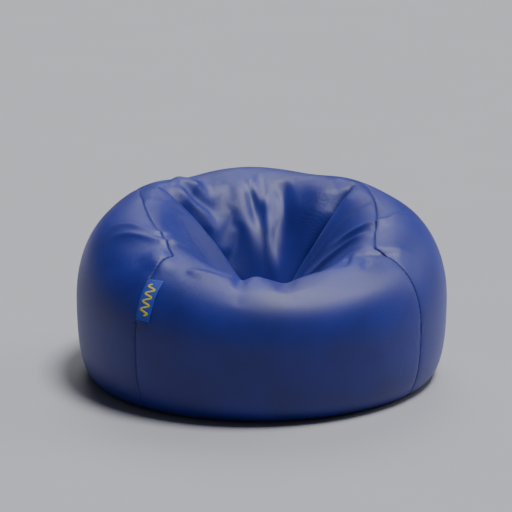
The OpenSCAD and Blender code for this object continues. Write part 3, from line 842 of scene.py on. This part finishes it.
def sheet_places(u, v, count, hidden_lines):
    """Cloth places of a thick sheet's outer face, inner face and turned-in edges."""
    n, m = u.shape
    k = hidden_lines
    flat = np.stack([u, v, np.zeros_like(u)], -1)
    ring = edge_ring(n, m)
    parts = [flat.reshape(-1, 3), flat[k:n - k, k:m - k].reshape(-1, 3)]
    edge = flat[ring[:, 0], ring[:, 1]]
    have = sum(len(p) for p in parts)
    while have < count:
        parts.append(edge)
        have += len(edge)
    return np.concatenate(parts)


# %% Build the side panels and the centre panel
SKIRT = 0.003                  # how far the turned-in edges reach inwards
HIDDEN_LINES = 4               # lines of the grid that the inner face leaves out


def cover_panel(name, grid, n_rows, n_columns, seams, outward, shift):
    outer, normal, u, v = panel_grid(grid, n_rows, n_columns, seams, outward, shift)
    outer[..., 2] = np.maximum(outer[..., 2], 0.0)
    points, faces = thick_sheet(outer, normal, CLOTH, SKIRT, HIDDEN_LINES)
    points[:, 2] = np.maximum(points[:, 2], 0.0)
    made = mesh_object(name, points, faces)
    store_places(made, sheet_places(u, v, len(points), HIDDEN_LINES))
    face_outwards(made)
    print(name, len(made.data.polygons), "faces")
    return made


left_side = cover_panel("left_side_cloth", panel_grids["left"], 84, 96,
                        (True, True, True, True), 1, 0.3)
right_side = cover_panel("right_side_cloth", panel_grids["right"], 84, 96,
                         (True, True, True, True), 1, 1.7)
centre = cover_panel("centre_cloth", panel_grids["centre"], 108, 300,
                     (True, True, True, True), 1, 2.9)
finish_piece(left_side, cover_cloth, "bag", ["left_side_panel"])
finish_piece(right_side, cover_cloth, "bag", ["right_side_panel"])
finish_piece(centre, cover_cloth, "bag", ["centre_panel"])

# %% [markdown]
# ## The base of the cover
# Under the bag, two flat halves meet at a zip. They are sewn to each other beyond
# the zip's ends. Nobody sees them until the bag is turned over, but a cover
# without them would not come off.

# %% Build the base halves
ZIP_SLOT_HALF = 0.004
ZIP_SLOT_REACH = 0.286         # half the length of the slot that shows the zip
CLOSED_GAP = 0.0006            # half gap where the halves are sewn to each other
SLOT_END = 0.004
SLOT_EASE = 0.020              # how far from the slot the cloth gives way to it
BASE_EDGE_RISE = 0.005


def base_half(name, grid, side, shift):
    """One half of the flat base; side is -1 for the front and 1 for the rear."""
    outer, normal, u, v = panel_grid(grid, 110, 44, (True, True, side > 0, side < 0), 1,
                                     shift)
    x, y = outer[..., 0], np.abs(outer[..., 1])
    closed = stretch(np.abs(x), ZIP_SLOT_REACH - SLOT_END, ZIP_SLOT_REACH + SLOT_END)
    wide = CLOSED_GAP + (ZIP_SLOT_HALF - CLOSED_GAP) * (1 - closed)
    outer[..., 1] = side * (y + wide * np.exp(-y / SLOT_EASE))
    outer[..., 2] = np.clip(outer[..., 2], 0.0, BASE_EDGE_RISE)
    points, faces = thick_sheet(outer, normal, CLOTH)
    made = mesh_object(name, points, faces)
    store_places(made, sheet_places(u, v, len(points), 0))
    face_outwards(made)
    return made


middle_line = STEPS // 2
base_front = base_half("base_front_cloth", base_grid[:, middle_line:], -1, 4.1)
base_rear = base_half("base_rear_cloth", base_grid[:, :middle_line + 1], 1, 5.3)
finish_piece(base_front, cover_cloth, "bag", ["base_front_panel"])
finish_piece(base_rear, cover_cloth, "bag", ["base_rear_panel"])
print("base halves", len(base_front.data.polygons), len(base_rear.data.polygons))

# %% [markdown]
# ## Seam stitching
# Where two panels meet, their edges are turned in and sewn together, and the seam
# shows as a dark groove with the thread glinting in it. We lay one small rounded
# stitch after another along the groove, as a lockstitch machine does.

# %% Helper: a row of stitches
STITCH_PITCH = 0.0040
STITCH_LENGTH = 0.0034
STITCH_THICK = 0.0010


def stitch_shape(sides=6):
    """Points and faces of one stitch along +X, bowed up along +Z."""
    stations = [(-0.5, 0.35), (-0.40, 0.85), (-0.15, 1.0), (0.15, 1.0), (0.40, 0.85),
                (0.5, 0.35)]
    points = []
    for along, wide in stations:
        for k in range(sides):
            turn = 2 * math.pi * k / sides
            lift = 0.28 * (1 - (2 * along) ** 2)
            points.append((along, 0.5 * wide * math.cos(turn),
                           0.5 * wide * math.sin(turn) + lift))
    faces = [list(range(sides))[::-1]]
    for i in range(len(stations) - 1):
        for k in range(sides):
            a, b = i * sides + k, i * sides + (k + 1) % sides
            faces.append([a, b, b + sides, a + sides])
    faces.append([(len(stations) - 1) * sides + k for k in range(sides)])
    return np.array(points), faces


def even_points(line, others, pitch):
    """Points one pitch apart along a line, with other values carried along."""
    step = np.linalg.norm(np.diff(line, axis=0), axis=1)
    run = np.concatenate([[0], np.cumsum(step)])
    at = np.arange(pitch / 2, run[-1], pitch)
    place = np.interp(at, run, np.arange(len(run)))
    fine = curve_at(line[:, None, :], place)[:, 0]
    carried = [np.stack([np.interp(at, run, o[:, c]) for c in range(3)], 1) for o in others]
    return fine, carried


def stitch_rows(name, lines, depth, material, slot_name, replaced, body="bag",
                pitch=STITCH_PITCH, long=STITCH_LENGTH, thick=STITCH_THICK, slant=0.10):
    """Stitches along lines, each given as points and outward normals."""
    shape, shape_faces = stitch_shape()
    all_points, all_faces = [], []
    for line, out in lines:
        place, (up,) = even_points(line, [out], pitch)
        up /= np.linalg.norm(up, axis=1, keepdims=True)
        ahead = np.gradient(place, axis=0)
        ahead -= up * np.sum(ahead * up, axis=1, keepdims=True)
        ahead /= np.linalg.norm(ahead, axis=1, keepdims=True)
        aside = np.cross(up, ahead)
        ahead = ahead + slant * aside
        for p, a, s, u in zip(place, ahead, aside, up):
            first = len(all_points) * len(shape)
            all_points.append(p - u * depth + shape[:, :1] * long * a
                              + shape[:, 1:2] * thick * s + shape[:, 2:] * thick * u)
            all_faces += [[first + k for k in face] for face in shape_faces]
    made = mesh_object(name, np.concatenate(all_points), all_faces)
    finish_piece(made, material, body, replaced)
    print(name, len(all_points), "stitches")
    return made


# %% Stitch the cover's seams
THREAD_DEPTH = 0.0034
BASE_THREAD_DEPTH = 0.0022
CLOSED_FROM = 0.294            # beyond this the base halves are sewn to each other


def border_line(grid):
    """The closed border of a panel with its outward normals."""
    normal = grid_normals(grid, 1)
    ring = edge_ring(*grid.shape[:2])
    ring = np.concatenate([ring, ring[:1]])
    return grid[ring[:, 0], ring[:, 1]], normal[ring[:, 0], ring[:, 1]]


def flat_line(line):
    down = np.zeros_like(line)
    down[:, 2] = -1
    return line, down


stitch_rows("left_seam_stitches", [border_line(panel_grids["left"])], THREAD_DEPTH,
            seam_thread, "seam_thread", ["left_seam_thread"])
stitch_rows("right_seam_stitches", [border_line(panel_grids["right"])], THREAD_DEPTH,
            seam_thread, "seam_thread", ["right_seam_thread"])
base_half_width = float(base_grid[-1, middle_line, 0])
closed_places = np.linspace(CLOSED_FROM, base_half_width - 0.006, 12)
zip_ends = [np.array([[side * x, 0.0, 0.0] for x in closed_places]) for side in (-1, 1)]
stitch_rows("base_seam_stitches",
            [flat_line(base_grid[1:-1, -1]), flat_line(base_grid[1:-1, 0])]
            + [flat_line(line) for line in zip_ends], BASE_THREAD_DEPTH, seam_thread,
            "seam_thread", ["base_seam_thread"], thick=0.0009)

# %% [markdown]
# ## Woven tab
# A short tape, folded double, is caught in the left front seam. It is a brighter
# blue, and a plain wave is worked on it in yellow satin stitch. The tab swings on
# its sewn edge, so it is its own body in the frame and its mesh rides on that.

# %% Where the tab lies on the cover
TAB_LOW, TAB_HIGH = 0.10, 0.59     # shares of the front seam, widest line to rim
TAB_WIDTH = 0.044
PLY = 0.0006
TAB_GAP = 0.0003
TAB_CLEAR = 0.0010                 # space between the tab and the cover
TAB_RIPPLE = 0.0007                # a slow wave of the free edge
TAB_SINK, TAB_SINK_REACH = 0.0010, 0.0025     # the seam draws the sewn edge in

tab_rows = 72
tab_shares = np.linspace(TAB_LOW, TAB_HIGH, tab_rows + 1)
tab_columns = (tab_shares + 1) / 2 * STEPS
patch = redraw(panel_grids["centre"], np.linspace(0, 8, 97), tab_columns)
patch_far = grid_lengths(patch)
patch_out = grid_normals(patch, 1)


def on_patch(values, distance):
    """Values of the patch at a distance from the seam, one for each tab row."""
    return np.stack([[np.interp(distance, patch_far[:, j], values[:, j, c])
                      for c in range(3)] for j in range(values.shape[1])])


sewn_edge = on_patch(patch, 0.0)
free_edge = on_patch(patch, TAB_WIDTH)
tab_out = on_patch(patch_out, 0.010) + on_patch(patch_out, 0.030)
tab_out /= np.linalg.norm(tab_out, axis=1, keepdims=True)
middle_rise = np.max([np.sum((on_patch(patch, w) - sewn_edge - (free_edge - sewn_edge)
                              * (w / TAB_WIDTH)) * tab_out, axis=1).max()
                      for w in np.linspace(0.006, 0.040, 8)])
TAB_BULGE = max(0.0022, float(middle_rise) + 0.0004)
print("tab height", round(float(np.linalg.norm(sewn_edge[-1] - sewn_edge[0])), 4),
      "bulge", round(TAB_BULGE, 4))


def tab_place(row, w, out):
    """A point of the tab: at a fractional row, w from its sewn edge, out from the cover."""
    share = np.clip(w / TAB_WIDTH, 0, 1.02)
    k = np.clip(np.floor(row).astype(int), 0, tab_rows - 1)
    s = (row - k)[..., None]
    start = sewn_edge[k] * (1 - s) + sewn_edge[k + 1] * s
    end = free_edge[k] * (1 - s) + free_edge[k + 1] * s
    up = tab_out[k] * (1 - s) + tab_out[k + 1] * s
    lift = out + TAB_BULGE * np.sin(math.pi * np.minimum(share, 1) ** 0.85)
    lift = lift + TAB_RIPPLE * np.sin(row * 0.16 + 0.6) * share ** 2
    lift = lift - TAB_SINK * np.exp(-w / TAB_SINK_REACH)
    return start + (end - start) * share[..., None] + up * lift[..., None]


# %% Build the folded tab
def fold_section():
    """The folded tape's cross-section: outer and inner points as (w, out) pairs."""
    thick = 2 * PLY + TAB_GAP
    bend_outer = thick / 2
    flat = np.concatenate([np.linspace(0.0003, 0.004, 4),
                           np.linspace(0.006, TAB_WIDTH - bend_outer, 16)])
    turn = np.linspace(-math.pi / 2, math.pi / 2, 9)[1:-1]
    outer, inner = [], []
    for w in flat:
        outer.append((w, 0.0))
        inner.append((w, PLY))
    for t in turn:
        outer.append((TAB_WIDTH - bend_outer + bend_outer * math.cos(t),
                      bend_outer + bend_outer * math.sin(t)))
        inner.append((TAB_WIDTH - bend_outer + TAB_GAP / 2 * math.cos(t),
                      bend_outer + TAB_GAP / 2 * math.sin(t)))
    for w in flat[::-1]:
        outer.append((w, thick))
        inner.append((w, thick - PLY))
    return np.array(outer), np.array(inner)


outer_section, inner_section = fold_section()
loop = np.concatenate([outer_section, inner_section[::-1]])
count = len(loop)
half = len(outer_section)
rows = np.repeat(np.arange(tab_rows + 1, dtype=float)[:, None], count, axis=1)
w_all = np.repeat(loop[None, :, 0], tab_rows + 1, axis=0)
out_all = np.repeat(loop[None, :, 1], tab_rows + 1, axis=0) + TAB_CLEAR
tab_points = tab_place(rows, w_all, out_all).reshape(-1, 3)
tab_faces = []
for i in range(tab_rows):
    for j in range(count):
        a, b = i * count + j, i * count + (j + 1) % count
        tab_faces.append([a, b, b + count, a + count])
for i in (0, tab_rows):
    for j in range(half - 1):
        tab_faces.append([i * count + j, i * count + j + 1,
                          i * count + count - 2 - j, i * count + count - 1 - j])
tab = mesh_object("woven_tab", tab_points, tab_faces)
tab_long = float(np.linalg.norm(sewn_edge[-1] - sewn_edge[0]))
store_places(tab, np.stack([w_all.ravel(), rows.ravel() / tab_rows * tab_long,
                            out_all.ravel()], 1))
face_outwards(tab)
finish_piece(tab, tab_cloth, "tab", ["tab_label"])
print("woven tab", len(tab.data.polygons), "faces")

# %% Work the wave on the tab
WAVES = 4
WAVE_WIDTH = 0.0046
WAVE_MIDDLE, WAVE_SWING = 0.52, 0.25     # shares of the tab's width
WAVE_START, WAVE_RUN = 0.12, 0.76        # shares of the tab's length
THREADS_IN_WAVE = 420
SATIN_HEIGHT = 0.0006
SATIN_RIDGE = 0.30               # how much lower every second thread lies
along = np.linspace(0, 1, THREADS_IN_WAVE + 1)
wave_w = TAB_WIDTH * (WAVE_MIDDLE + WAVE_SWING * np.sin(2 * math.pi * WAVES * along))
wave_v = (WAVE_START + WAVE_RUN * along) * tab_long
ahead_w, ahead_v = np.gradient(wave_w), np.gradient(wave_v)
size = np.hypot(ahead_w, ahead_v)
aside_w, aside_v = ahead_v / size, -ahead_w / size
dome = [(-0.5, 0.0), (-0.42, 0.62), (-0.2, 0.92), (0.0, 1.0), (0.2, 0.92), (0.42, 0.62),
        (0.5, 0.0)]
ridge = 1 - SATIN_RIDGE * (np.arange(THREADS_IN_WAVE + 1) % 2)
ends = np.clip(np.minimum(along, 1 - along) * 60, 0.25, 1)
wave_points = []
for across, high in dome:
    w = wave_w + aside_w * WAVE_WIDTH * across * ends
    v = wave_v + aside_v * WAVE_WIDTH * across * ends
    top = TAB_CLEAR + 2 * PLY + TAB_GAP - 0.0001 + SATIN_HEIGHT * high * ridge
    wave_points.append(tab_place(v / tab_long * tab_rows, w, top))
wave_points = np.stack(wave_points, axis=1)
n_dome = len(dome)
wave_faces = []
for i in range(THREADS_IN_WAVE):
    for j in range(n_dome):
        a, b = i * n_dome + j, i * n_dome + (j + 1) % n_dome
        wave_faces.append([a, b, b + n_dome, a + n_dome])
wave_faces.append(list(range(n_dome)))
wave_faces.append([THREADS_IN_WAVE * n_dome + j for j in range(n_dome)])
wave = mesh_object("tab_wave_stitching", wave_points.reshape(-1, 3), wave_faces)
face_outwards(wave)
finish_piece(wave, tab_thread, "tab", ["tab_wave"])
print("wave", len(wave.data.polygons), "faces")

# %% [markdown]
# ## Zips
# Both zips are coil zips: a thin filament is wound into a spiral and sewn to each
# tape. We sweep a round thread along a flattened spiral for each side. The
# sliders and the end stops keep the frame's exact shapes, because they are hard
# parts, and only get a worn metal finish.

# %% Zip tapes
ZIP_TAPE_IN, ZIP_TAPE_OUT = 0.00085, 0.020
ZIP_TAPE_THICK = 0.0006
ZIP_TAPE_ROUNDED = 0.0008        # width of the rounded outer edge


def made_places(made):
    """For a flat piece, its own points serve as its places along the cloth."""
    return np.array([v.co for v in made.data.vertices], float)


def zip_tape(name, node, side, material):
    """A flat woven tape with a rounded outer edge, in the place the frame gives."""
    low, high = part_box(node)
    x = np.linspace(low.x, high.x, 161)
    y = np.concatenate([np.linspace(ZIP_TAPE_IN, ZIP_TAPE_OUT - 0.0012, 12),
                        np.linspace(ZIP_TAPE_OUT - ZIP_TAPE_ROUNDED, ZIP_TAPE_OUT, 4)])
    edge = np.clip((y - (ZIP_TAPE_OUT - ZIP_TAPE_ROUNDED)) / ZIP_TAPE_ROUNDED, 0, 1)
    thin = 1 - 0.55 * edge ** 2
    middle = (low.z + high.z) / 2
    grid_x, grid_y = np.meshgrid(x, side * y, indexing="ij")
    lower = np.stack([grid_x, grid_y, middle - ZIP_TAPE_THICK / 2 * thin[None, :]
                      + 0 * grid_x], -1)
    upper = lower.copy()
    upper[..., 2] = middle + ZIP_TAPE_THICK / 2 * thin[None, :]
    n, m = grid_x.shape
    number = np.arange(n * m).reshape(n, m)
    ring = edge_ring(n, m)
    a = number[ring[:, 0], ring[:, 1]]
    b = np.roll(a, -1)
    faces = grid_quads(number).tolist() + (grid_quads(number) + n * m)[:, ::-1].tolist() \
        + np.stack([a, a + n * m, b + n * m, b], -1).tolist()
    made = mesh_object(name, np.concatenate([lower.reshape(-1, 3), upper.reshape(-1, 3)]),
                       faces)
    store_places(made, made_places(made))
    face_outwards(made)
    return finish_piece(made, material, "bag", [node])


zip_tape("cover_zip_tape_front", "cover_zip_front_tape", -1, tape_cloth)
zip_tape("cover_zip_tape_rear", "cover_zip_rear_tape", 1, tape_cloth)
zip_tape("liner_zip_tape_front", "liner_zip_front_tape", -1, liner_tape_cloth)
zip_tape("liner_zip_tape_rear", "liner_zip_rear_tape", 1, liner_tape_cloth)

# %% Zip coils
COIL_PITCH = 0.0014
FILAMENT = 0.00032             # radius of the filament
TURN_STEPS = 10


def zip_coil_row(name, node, material):
    """A flattened spiral that fills the box of a coil in the frame."""
    low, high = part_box(node)
    turns = int((high.x - low.x) / COIL_PITCH) - 1
    t = np.arange(turns * TURN_STEPS + 1) / TURN_STEPS
    y_mid, z_mid = (low.y + high.y) / 2, (low.z + high.z) / 2
    y_half = (high.y - low.y) / 2 - FILAMENT - 0.00005
    z_half = (high.z - low.z) / 2 - FILAMENT - 0.00005
    centre_line = np.stack([low.x + FILAMENT + t * COIL_PITCH,
                            y_mid + y_half * np.cos(2 * math.pi * t),
                            z_mid + z_half * np.sin(2 * math.pi * t)], 1)
    ahead = np.gradient(centre_line, axis=0)
    ahead /= np.linalg.norm(ahead, axis=1, keepdims=True)
    first = np.stack([np.ones_like(t), 0 * t, 0 * t], 1)
    first -= ahead * np.sum(first * ahead, axis=1, keepdims=True)
    first /= np.linalg.norm(first, axis=1, keepdims=True)
    second = np.cross(ahead, first)
    sides = 5
    rings = [centre_line + FILAMENT * (math.cos(2 * math.pi * k / sides) * first
                                       + math.sin(2 * math.pi * k / sides) * second)
             for k in range(sides)]
    points = np.stack(rings, axis=1).reshape(-1, 3)
    i = np.arange(len(t) - 1)[:, None] * sides
    k = np.arange(sides)[None, :]
    faces = np.stack([i + k, i + (k + 1) % sides, i + sides + (k + 1) % sides,
                      i + sides + k], -1).reshape(-1, 4).tolist()
    faces += [list(range(sides)), [(len(t) - 1) * sides + k for k in range(sides)]]
    made = mesh_object(name, points, faces)
    face_outwards(made)
    print(name, turns, "turns")
    return finish_piece(made, material, "bag", [node])


zip_coil_row("cover_coil_front", "cover_zip_front_coil", zip_coil)
zip_coil_row("cover_coil_rear", "cover_zip_rear_coil", zip_coil)
zip_coil_row("liner_coil_front", "liner_zip_front_coil", liner_coil)
zip_coil_row("liner_coil_rear", "liner_zip_rear_coil", liner_coil)
for node in ("cover_zip_slider", "cover_zip_end_stops", "liner_zip_slider",
             "liner_zip_end_stops"):
    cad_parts[node].data.materials.clear()
    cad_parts[node].data.materials.append(zip_metal)

# %% Stitches that hold the cover's zip
ZIP_STITCH_LINE = 0.007          # from the zip's middle to its stitches
zip_low, zip_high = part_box("cover_zip_stitching")
zip_rows = []
for side in (-1, 1):
    for z, up in ((zip_high.z - 0.0003, 1.0), (0.0004, -1.0)):
        line = np.array([[x, side * ZIP_STITCH_LINE, z]
                         for x in np.linspace(zip_low.x, zip_high.x, 40)])
        zip_rows.append((line, np.tile([0.0, 0.0, up], (40, 1))))
stitch_rows("zip_stitches", zip_rows, 0.0, seam_thread, "seam_thread",
            ["cover_zip_stitching"], pitch=0.0032, long=0.0026, thick=0.0005)

# %% Care label, blank, sewn in behind the zip tape
LABEL_CLOTH = 0.0005
LABEL_LIFT = 0.0008
LABEL_CURL = 0.0006
low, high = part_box("care_label")
label_x, label_y = np.meshgrid(np.linspace(low.x, high.x, 33), np.linspace(low.y, high.y, 21),
                               indexing="ij")
curl = LABEL_CURL * np.sin((label_x - low.x) * 90.0) * (high.y - label_y) / (high.y - low.y)
label_lower = np.stack([label_x, label_y, low.z + LABEL_LIFT + curl], -1)
label_points, label_faces = thick_sheet(label_lower, np.tile([0.0, 0.0, -1.0], (33, 21, 1)),
                                        LABEL_CLOTH)
care = mesh_object("blank_care_label", label_points, label_faces)
store_places(care, made_places(care))
face_outwards(care)
finish_piece(care, liner_cloth, "bag", ["care_label"])

# %% [markdown]
# ## Liner and beads
# Inside the cover sits a white liner of the same cut, and inside that the beads.
# They don't show. If they followed the cover's folds exactly, they could poke
# through it in a narrow crease. So they follow an evened-out form instead, which
# spans each fold at the height of its deepest place nearby, a few millimetres in.

# %% Layers inside the cover
LINER_INSET = 0.0045
LINER_CLOTH = 0.0008
LINER_CUT_BACK = 0.0011          # gap at the liner's seams
BEAD_INSET = 0.0085
WALL_ANGLES = (60, 80)           # between them the layers leave the skin's own form
liner_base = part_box("liner_base_front_panel")[0].z
bead_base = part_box("bead_fill")[0].z
skin_out = surface_normals(skin, skin_quads)
edges = np.concatenate([skin_quads[:, [0, 1]], skin_quads[:, [1, 2]], skin_quads[:, [2, 3]],
                        skin_quads[:, [3, 0]]])
neighbours = np.bincount(edges[:, 0], minlength=len(skin)).astype(float)


def smoothed(values, rounds):
    """Values at the skin's points, evened out over their neighbours."""
    values = values.copy()
    for _ in range(rounds):
        total = np.stack([np.bincount(edges[:, 0], values[edges[:, 1], c], len(skin))
                          for c in range(values.shape[1])], 1)
        values = 0.5 * values + 0.5 * total / neighbours[:, None]
    return values


DEEPEST_REACH = 7               # cells over which the deepest place counts
EVEN_ROUNDS = 4
fold_now = np.sum((skin - smooth_skin) * smooth_normal, axis=1)
deepest = fold_now.copy()
for _ in range(DEEPEST_REACH):
    spread = deepest.copy()
    np.minimum.at(spread, edges[:, 0], deepest[edges[:, 1]])
    deepest = spread
deepest = smoothed(deepest[:, None], EVEN_ROUNDS)
even_skin = smooth_skin + smooth_normal * deepest
even_out = surface_normals(even_skin, skin_quads)
print("inner layers lie up to", round(float((fold_now - deepest[:, 0]).max()) * 1000),
      "mm under the folds")


def layer_inside(inset, base_height):
    """An evened-out skin moved inwards, with its flat base raised to a height."""
    share_up = stretch(skin_angle, CONTACT_ANGLE - 2, WAIST_ANGLE)
    raised = (base_height - inset) * np.cos(share_up * math.pi / 2) ** 2
    wall = stretch(skin_angle, *WALL_ANGLES)
    points = skin * (1 - wall[:, None]) + even_skin * wall[:, None]
    points = points - even_out * inset
    points[:, 2] += raised
    return points


def liner_panel(name, grid, node, n_rows, n_columns):
    """One panel of the liner, cut back a little at its seams."""
    gap = LINER_CUT_BACK
    rows_long = float(np.median(grid_lengths(grid)[-1])) / (len(grid) - 1)
    cols_long = float(np.median(grid_lengths(grid.transpose(1, 0, 2))[-1])) \
        / (grid.shape[1] - 1)
    rows = np.linspace(gap / rows_long, len(grid) - 1 - gap / rows_long, n_rows + 1)
    cols = np.linspace(gap / cols_long, grid.shape[1] - 1 - gap / cols_long, n_columns + 1)
    outer = redraw(grid, rows, cols)
    normal = grid_normals(outer, 1)
    points, faces = thick_sheet(outer, normal, LINER_CLOTH)
    made = mesh_object(name, points, faces)
    u, v = grid_lengths(outer), grid_lengths(outer.transpose(1, 0, 2)).T
    store_places(made, sheet_places(u, v, len(points), 0))
    face_outwards(made)
    return finish_piece(made, liner_cloth, "bag", [node])


liner_skin = layer_inside(LINER_INSET, liner_base)
liner_grids = {name: liner_skin[skin_grids[name]] for name in FACE_NAMES}
liner_centre = np.concatenate([liner_grids["front"], liner_grids["top"][:, 1:],
                               liner_grids["back"][::-1, ::-1][:, 1:]], axis=1)
liner_panel("liner_left_cloth", liner_grids["left"], "liner_left_panel", 60, 60)
liner_panel("liner_right_cloth", liner_grids["right"], "liner_right_panel", 60, 60)
liner_panel("liner_centre_cloth", liner_centre, "liner_centre_panel", 60, 150)


LINER_EDGE = 0.15                # cells left free at the edges of the liner's base
LINER_CLOSED_GAP, LINER_SLOT_HALF = 0.0012, 0.0040
LINER_SLOT_ENDS = (0.226, 0.232)


def liner_base_half(name, grid, side, node):
    """Half of the liner's base, parted along its zip."""
    half_grid = grid[:, middle_line:] if side < 0 else grid[:, :middle_line + 1]
    first, last = (LINER_EDGE, 0.0) if side > 0 else (0.0, LINER_EDGE)
    outer = redraw(half_grid, np.linspace(LINER_EDGE, STEPS - LINER_EDGE, 61),
                   np.linspace(first, middle_line - last, 31))
    x, y = outer[..., 0], np.abs(outer[..., 1])
    closed = stretch(np.abs(x), *LINER_SLOT_ENDS)
    wide = LINER_CLOSED_GAP + (LINER_SLOT_HALF - LINER_CLOSED_GAP) * (1 - closed)
    outer[..., 1] = side * (y + wide * np.exp(-y / SLOT_EASE))
    outer[..., 2] = liner_base
    down = np.tile([0.0, 0.0, -1.0], (*outer.shape[:2], 1))
    points, faces = thick_sheet(outer, down, LINER_CLOTH)
    made = mesh_object(name, points, faces)
    store_places(made, made_places(made))
    face_outwards(made)
    return finish_piece(made, liner_cloth, "bag", [node])


liner_base_half("liner_base_front_cloth", liner_grids["base"], -1, "liner_base_front_panel")
liner_base_half("liner_base_rear_cloth", liner_grids["base"], 1, "liner_base_rear_panel")

# %% Stitch the liner
LINER_STITCH = {"pitch": 0.0044, "long": 0.0036, "thick": 0.0007, "slant": 0.0}
LINER_THREAD_DEPTH = 0.0004
LINER_CLOSED_RUN = (0.236, 0.260)        # where the base's halves are sewn to each other
for side_name in ("left", "right"):
    stitch_rows("liner_%s_stitches" % side_name, [border_line(liner_grids[side_name])],
                LINER_THREAD_DEPTH, liner_thread, "liner_cloth",
                ["liner_%s_seam_thread" % side_name], **LINER_STITCH)
liner_flat = liner_grids["base"]
liner_ends = [np.array([[side * x, 0.0, liner_base]
                        for x in np.linspace(*LINER_CLOSED_RUN, 6)]) for side in (-1, 1)]
stitch_rows("liner_base_stitches",
            [flat_line(liner_flat[1:-1, -1]), flat_line(liner_flat[1:-1, 0])]
            + [flat_line(line) for line in liner_ends], LINER_THREAD_DEPTH, liner_thread,
            "liner_cloth", ["liner_base_seam_thread"], **LINER_STITCH)

# %% The beads
BEAD_LUMP = 0.0006
bead_points = layer_inside(BEAD_INSET, bead_base)
coarse = {name: skin_grids[name][::2, ::2] for name in FACE_NAMES}
kept, bead_numbers = np.unique(np.concatenate([g.ravel() for g in coarse.values()]),
                               return_inverse=True)
bead_quads, start = [], 0
for name in FACE_NAMES:
    grid_size = coarse[name].shape
    number = bead_numbers[start:start + coarse[name].size].reshape(grid_size)
    bead_quads.append(grid_quads(number))
    start += coarse[name].size
beads_at = bead_points[kept]
lumps = np.sin(beads_at[:, 0] * 410) * np.sin(beads_at[:, 1] * 390 + 1) \
    * np.sin(beads_at[:, 2] * 430 + 2)
beads_at = beads_at - skin_out[kept] * BEAD_LUMP * (1 + lumps)[:, None]
beads_at[:, 2] = np.maximum(beads_at[:, 2], bead_base)
beads = mesh_object("loose_beads", beads_at, np.concatenate(bead_quads))
face_outwards(beads)
finish_piece(beads, bead_stuff, "bag", ["bead_fill"])
print("beads", len(beads.data.polygons), "faces")

# %% [markdown]
# ## Floor, light and camera
# The bag stands on a plain pale floor. A broad soft light overhead, a little to
# the right, makes everything that faces up shine and leaves the front deep in
# colour. Two weaker ones, one from the right and one from high behind, draw the
# right side and the crest.

# %% Floor and surroundings
FLOOR_REACH = 200.0
FLOOR_LINES = 25
FLOOR_DARK, FLOOR_PALE = (0.33, 0.33, 0.36), (0.355, 0.355, 0.385)
ROOM_COLOUR = (0.78, 0.80, 1.0, 1)
ROOM_STRENGTH = 0.10
floor_line = np.linspace(-FLOOR_REACH, FLOOR_REACH, FLOOR_LINES)
floor_x, floor_y = np.meshgrid(floor_line, floor_line, indexing="ij")
floor = mesh_object("floor", np.stack([floor_x, floor_y, 0 * floor_x], -1).reshape(-1, 3),
                    grid_quads(np.arange(FLOOR_LINES ** 2).reshape(FLOOR_LINES, -1)))
floor_paint, floor_tree, floor_shader = new_material("floor_paint")
floor_own = floor_tree.nodes.new("ShaderNodeTexCoord").outputs["Object"]
floor_tree.links.new(shade_between(floor_tree, noise(floor_tree, floor_own, 1.2), FLOOR_DARK,
                                   FLOOR_PALE), floor_shader.inputs["Base Color"])
floor_shader.inputs["Roughness"].default_value = 0.65
floor.data.materials.append(floor_paint)

world = bpy.data.worlds.new("room")
bpy.context.scene.world = world
world.use_nodes = True
world.node_tree.nodes["Background"].inputs["Color"].default_value = ROOM_COLOUR
world.node_tree.nodes["Background"].inputs["Strength"].default_value = ROOM_STRENGTH


# %% Lights
def even_light(name, direction, watts_per_area, softness):
    """A light that reaches everything alike, from a soft patch of the sky."""
    lamp = bpy.data.lights.new(name, "SUN")
    lamp.energy = watts_per_area
    lamp.angle = math.radians(softness)
    made = bpy.data.objects.new(name, lamp)
    bpy.context.collection.objects.link(made)
    made.location = direction
    made.rotation_euler = Vector(direction).to_track_quat("Z", "Y").to_euler()
    return made


even_light("overhead", (0.8, -0.25, 3.0), 4.0, 18)
even_light("high_right", (2.6, 0.6, 1.5), 0.75, 30)
even_light("high_behind", (0.2, 2.2, 2.6), 0.95, 34)

# %% Camera
CAMERA_HEIGHT_ANGLE = math.radians(16)
CAMERA_TURN = math.radians(-8)
CAMERA_FAR = 4.6
LOOK_AT = Vector((0.0, 0.0, 0.24))
SENSOR = 36
LENS_SHARE = 3.32                # focal length as a share of the sensor's width
FRAMING_SHIFT = (-0.0117, 0.0547)
camera = bpy.data.cameras.new("camera")
camera.sensor_width = SENSOR
camera.lens = SENSOR * LENS_SHARE
camera.shift_x, camera.shift_y = FRAMING_SHIFT
holder = bpy.data.objects.new("camera", camera)
bpy.context.collection.objects.link(holder)
backwards = Vector((math.sin(CAMERA_TURN) * math.cos(CAMERA_HEIGHT_ANGLE),
                    -math.cos(CAMERA_TURN) * math.cos(CAMERA_HEIGHT_ANGLE),
                    math.sin(CAMERA_HEIGHT_ANGLE)))
holder.location = LOOK_AT + backwards * CAMERA_FAR
holder.rotation_euler = (-backwards).to_track_quat("-Z", "Y").to_euler()
bpy.context.scene.camera = holder
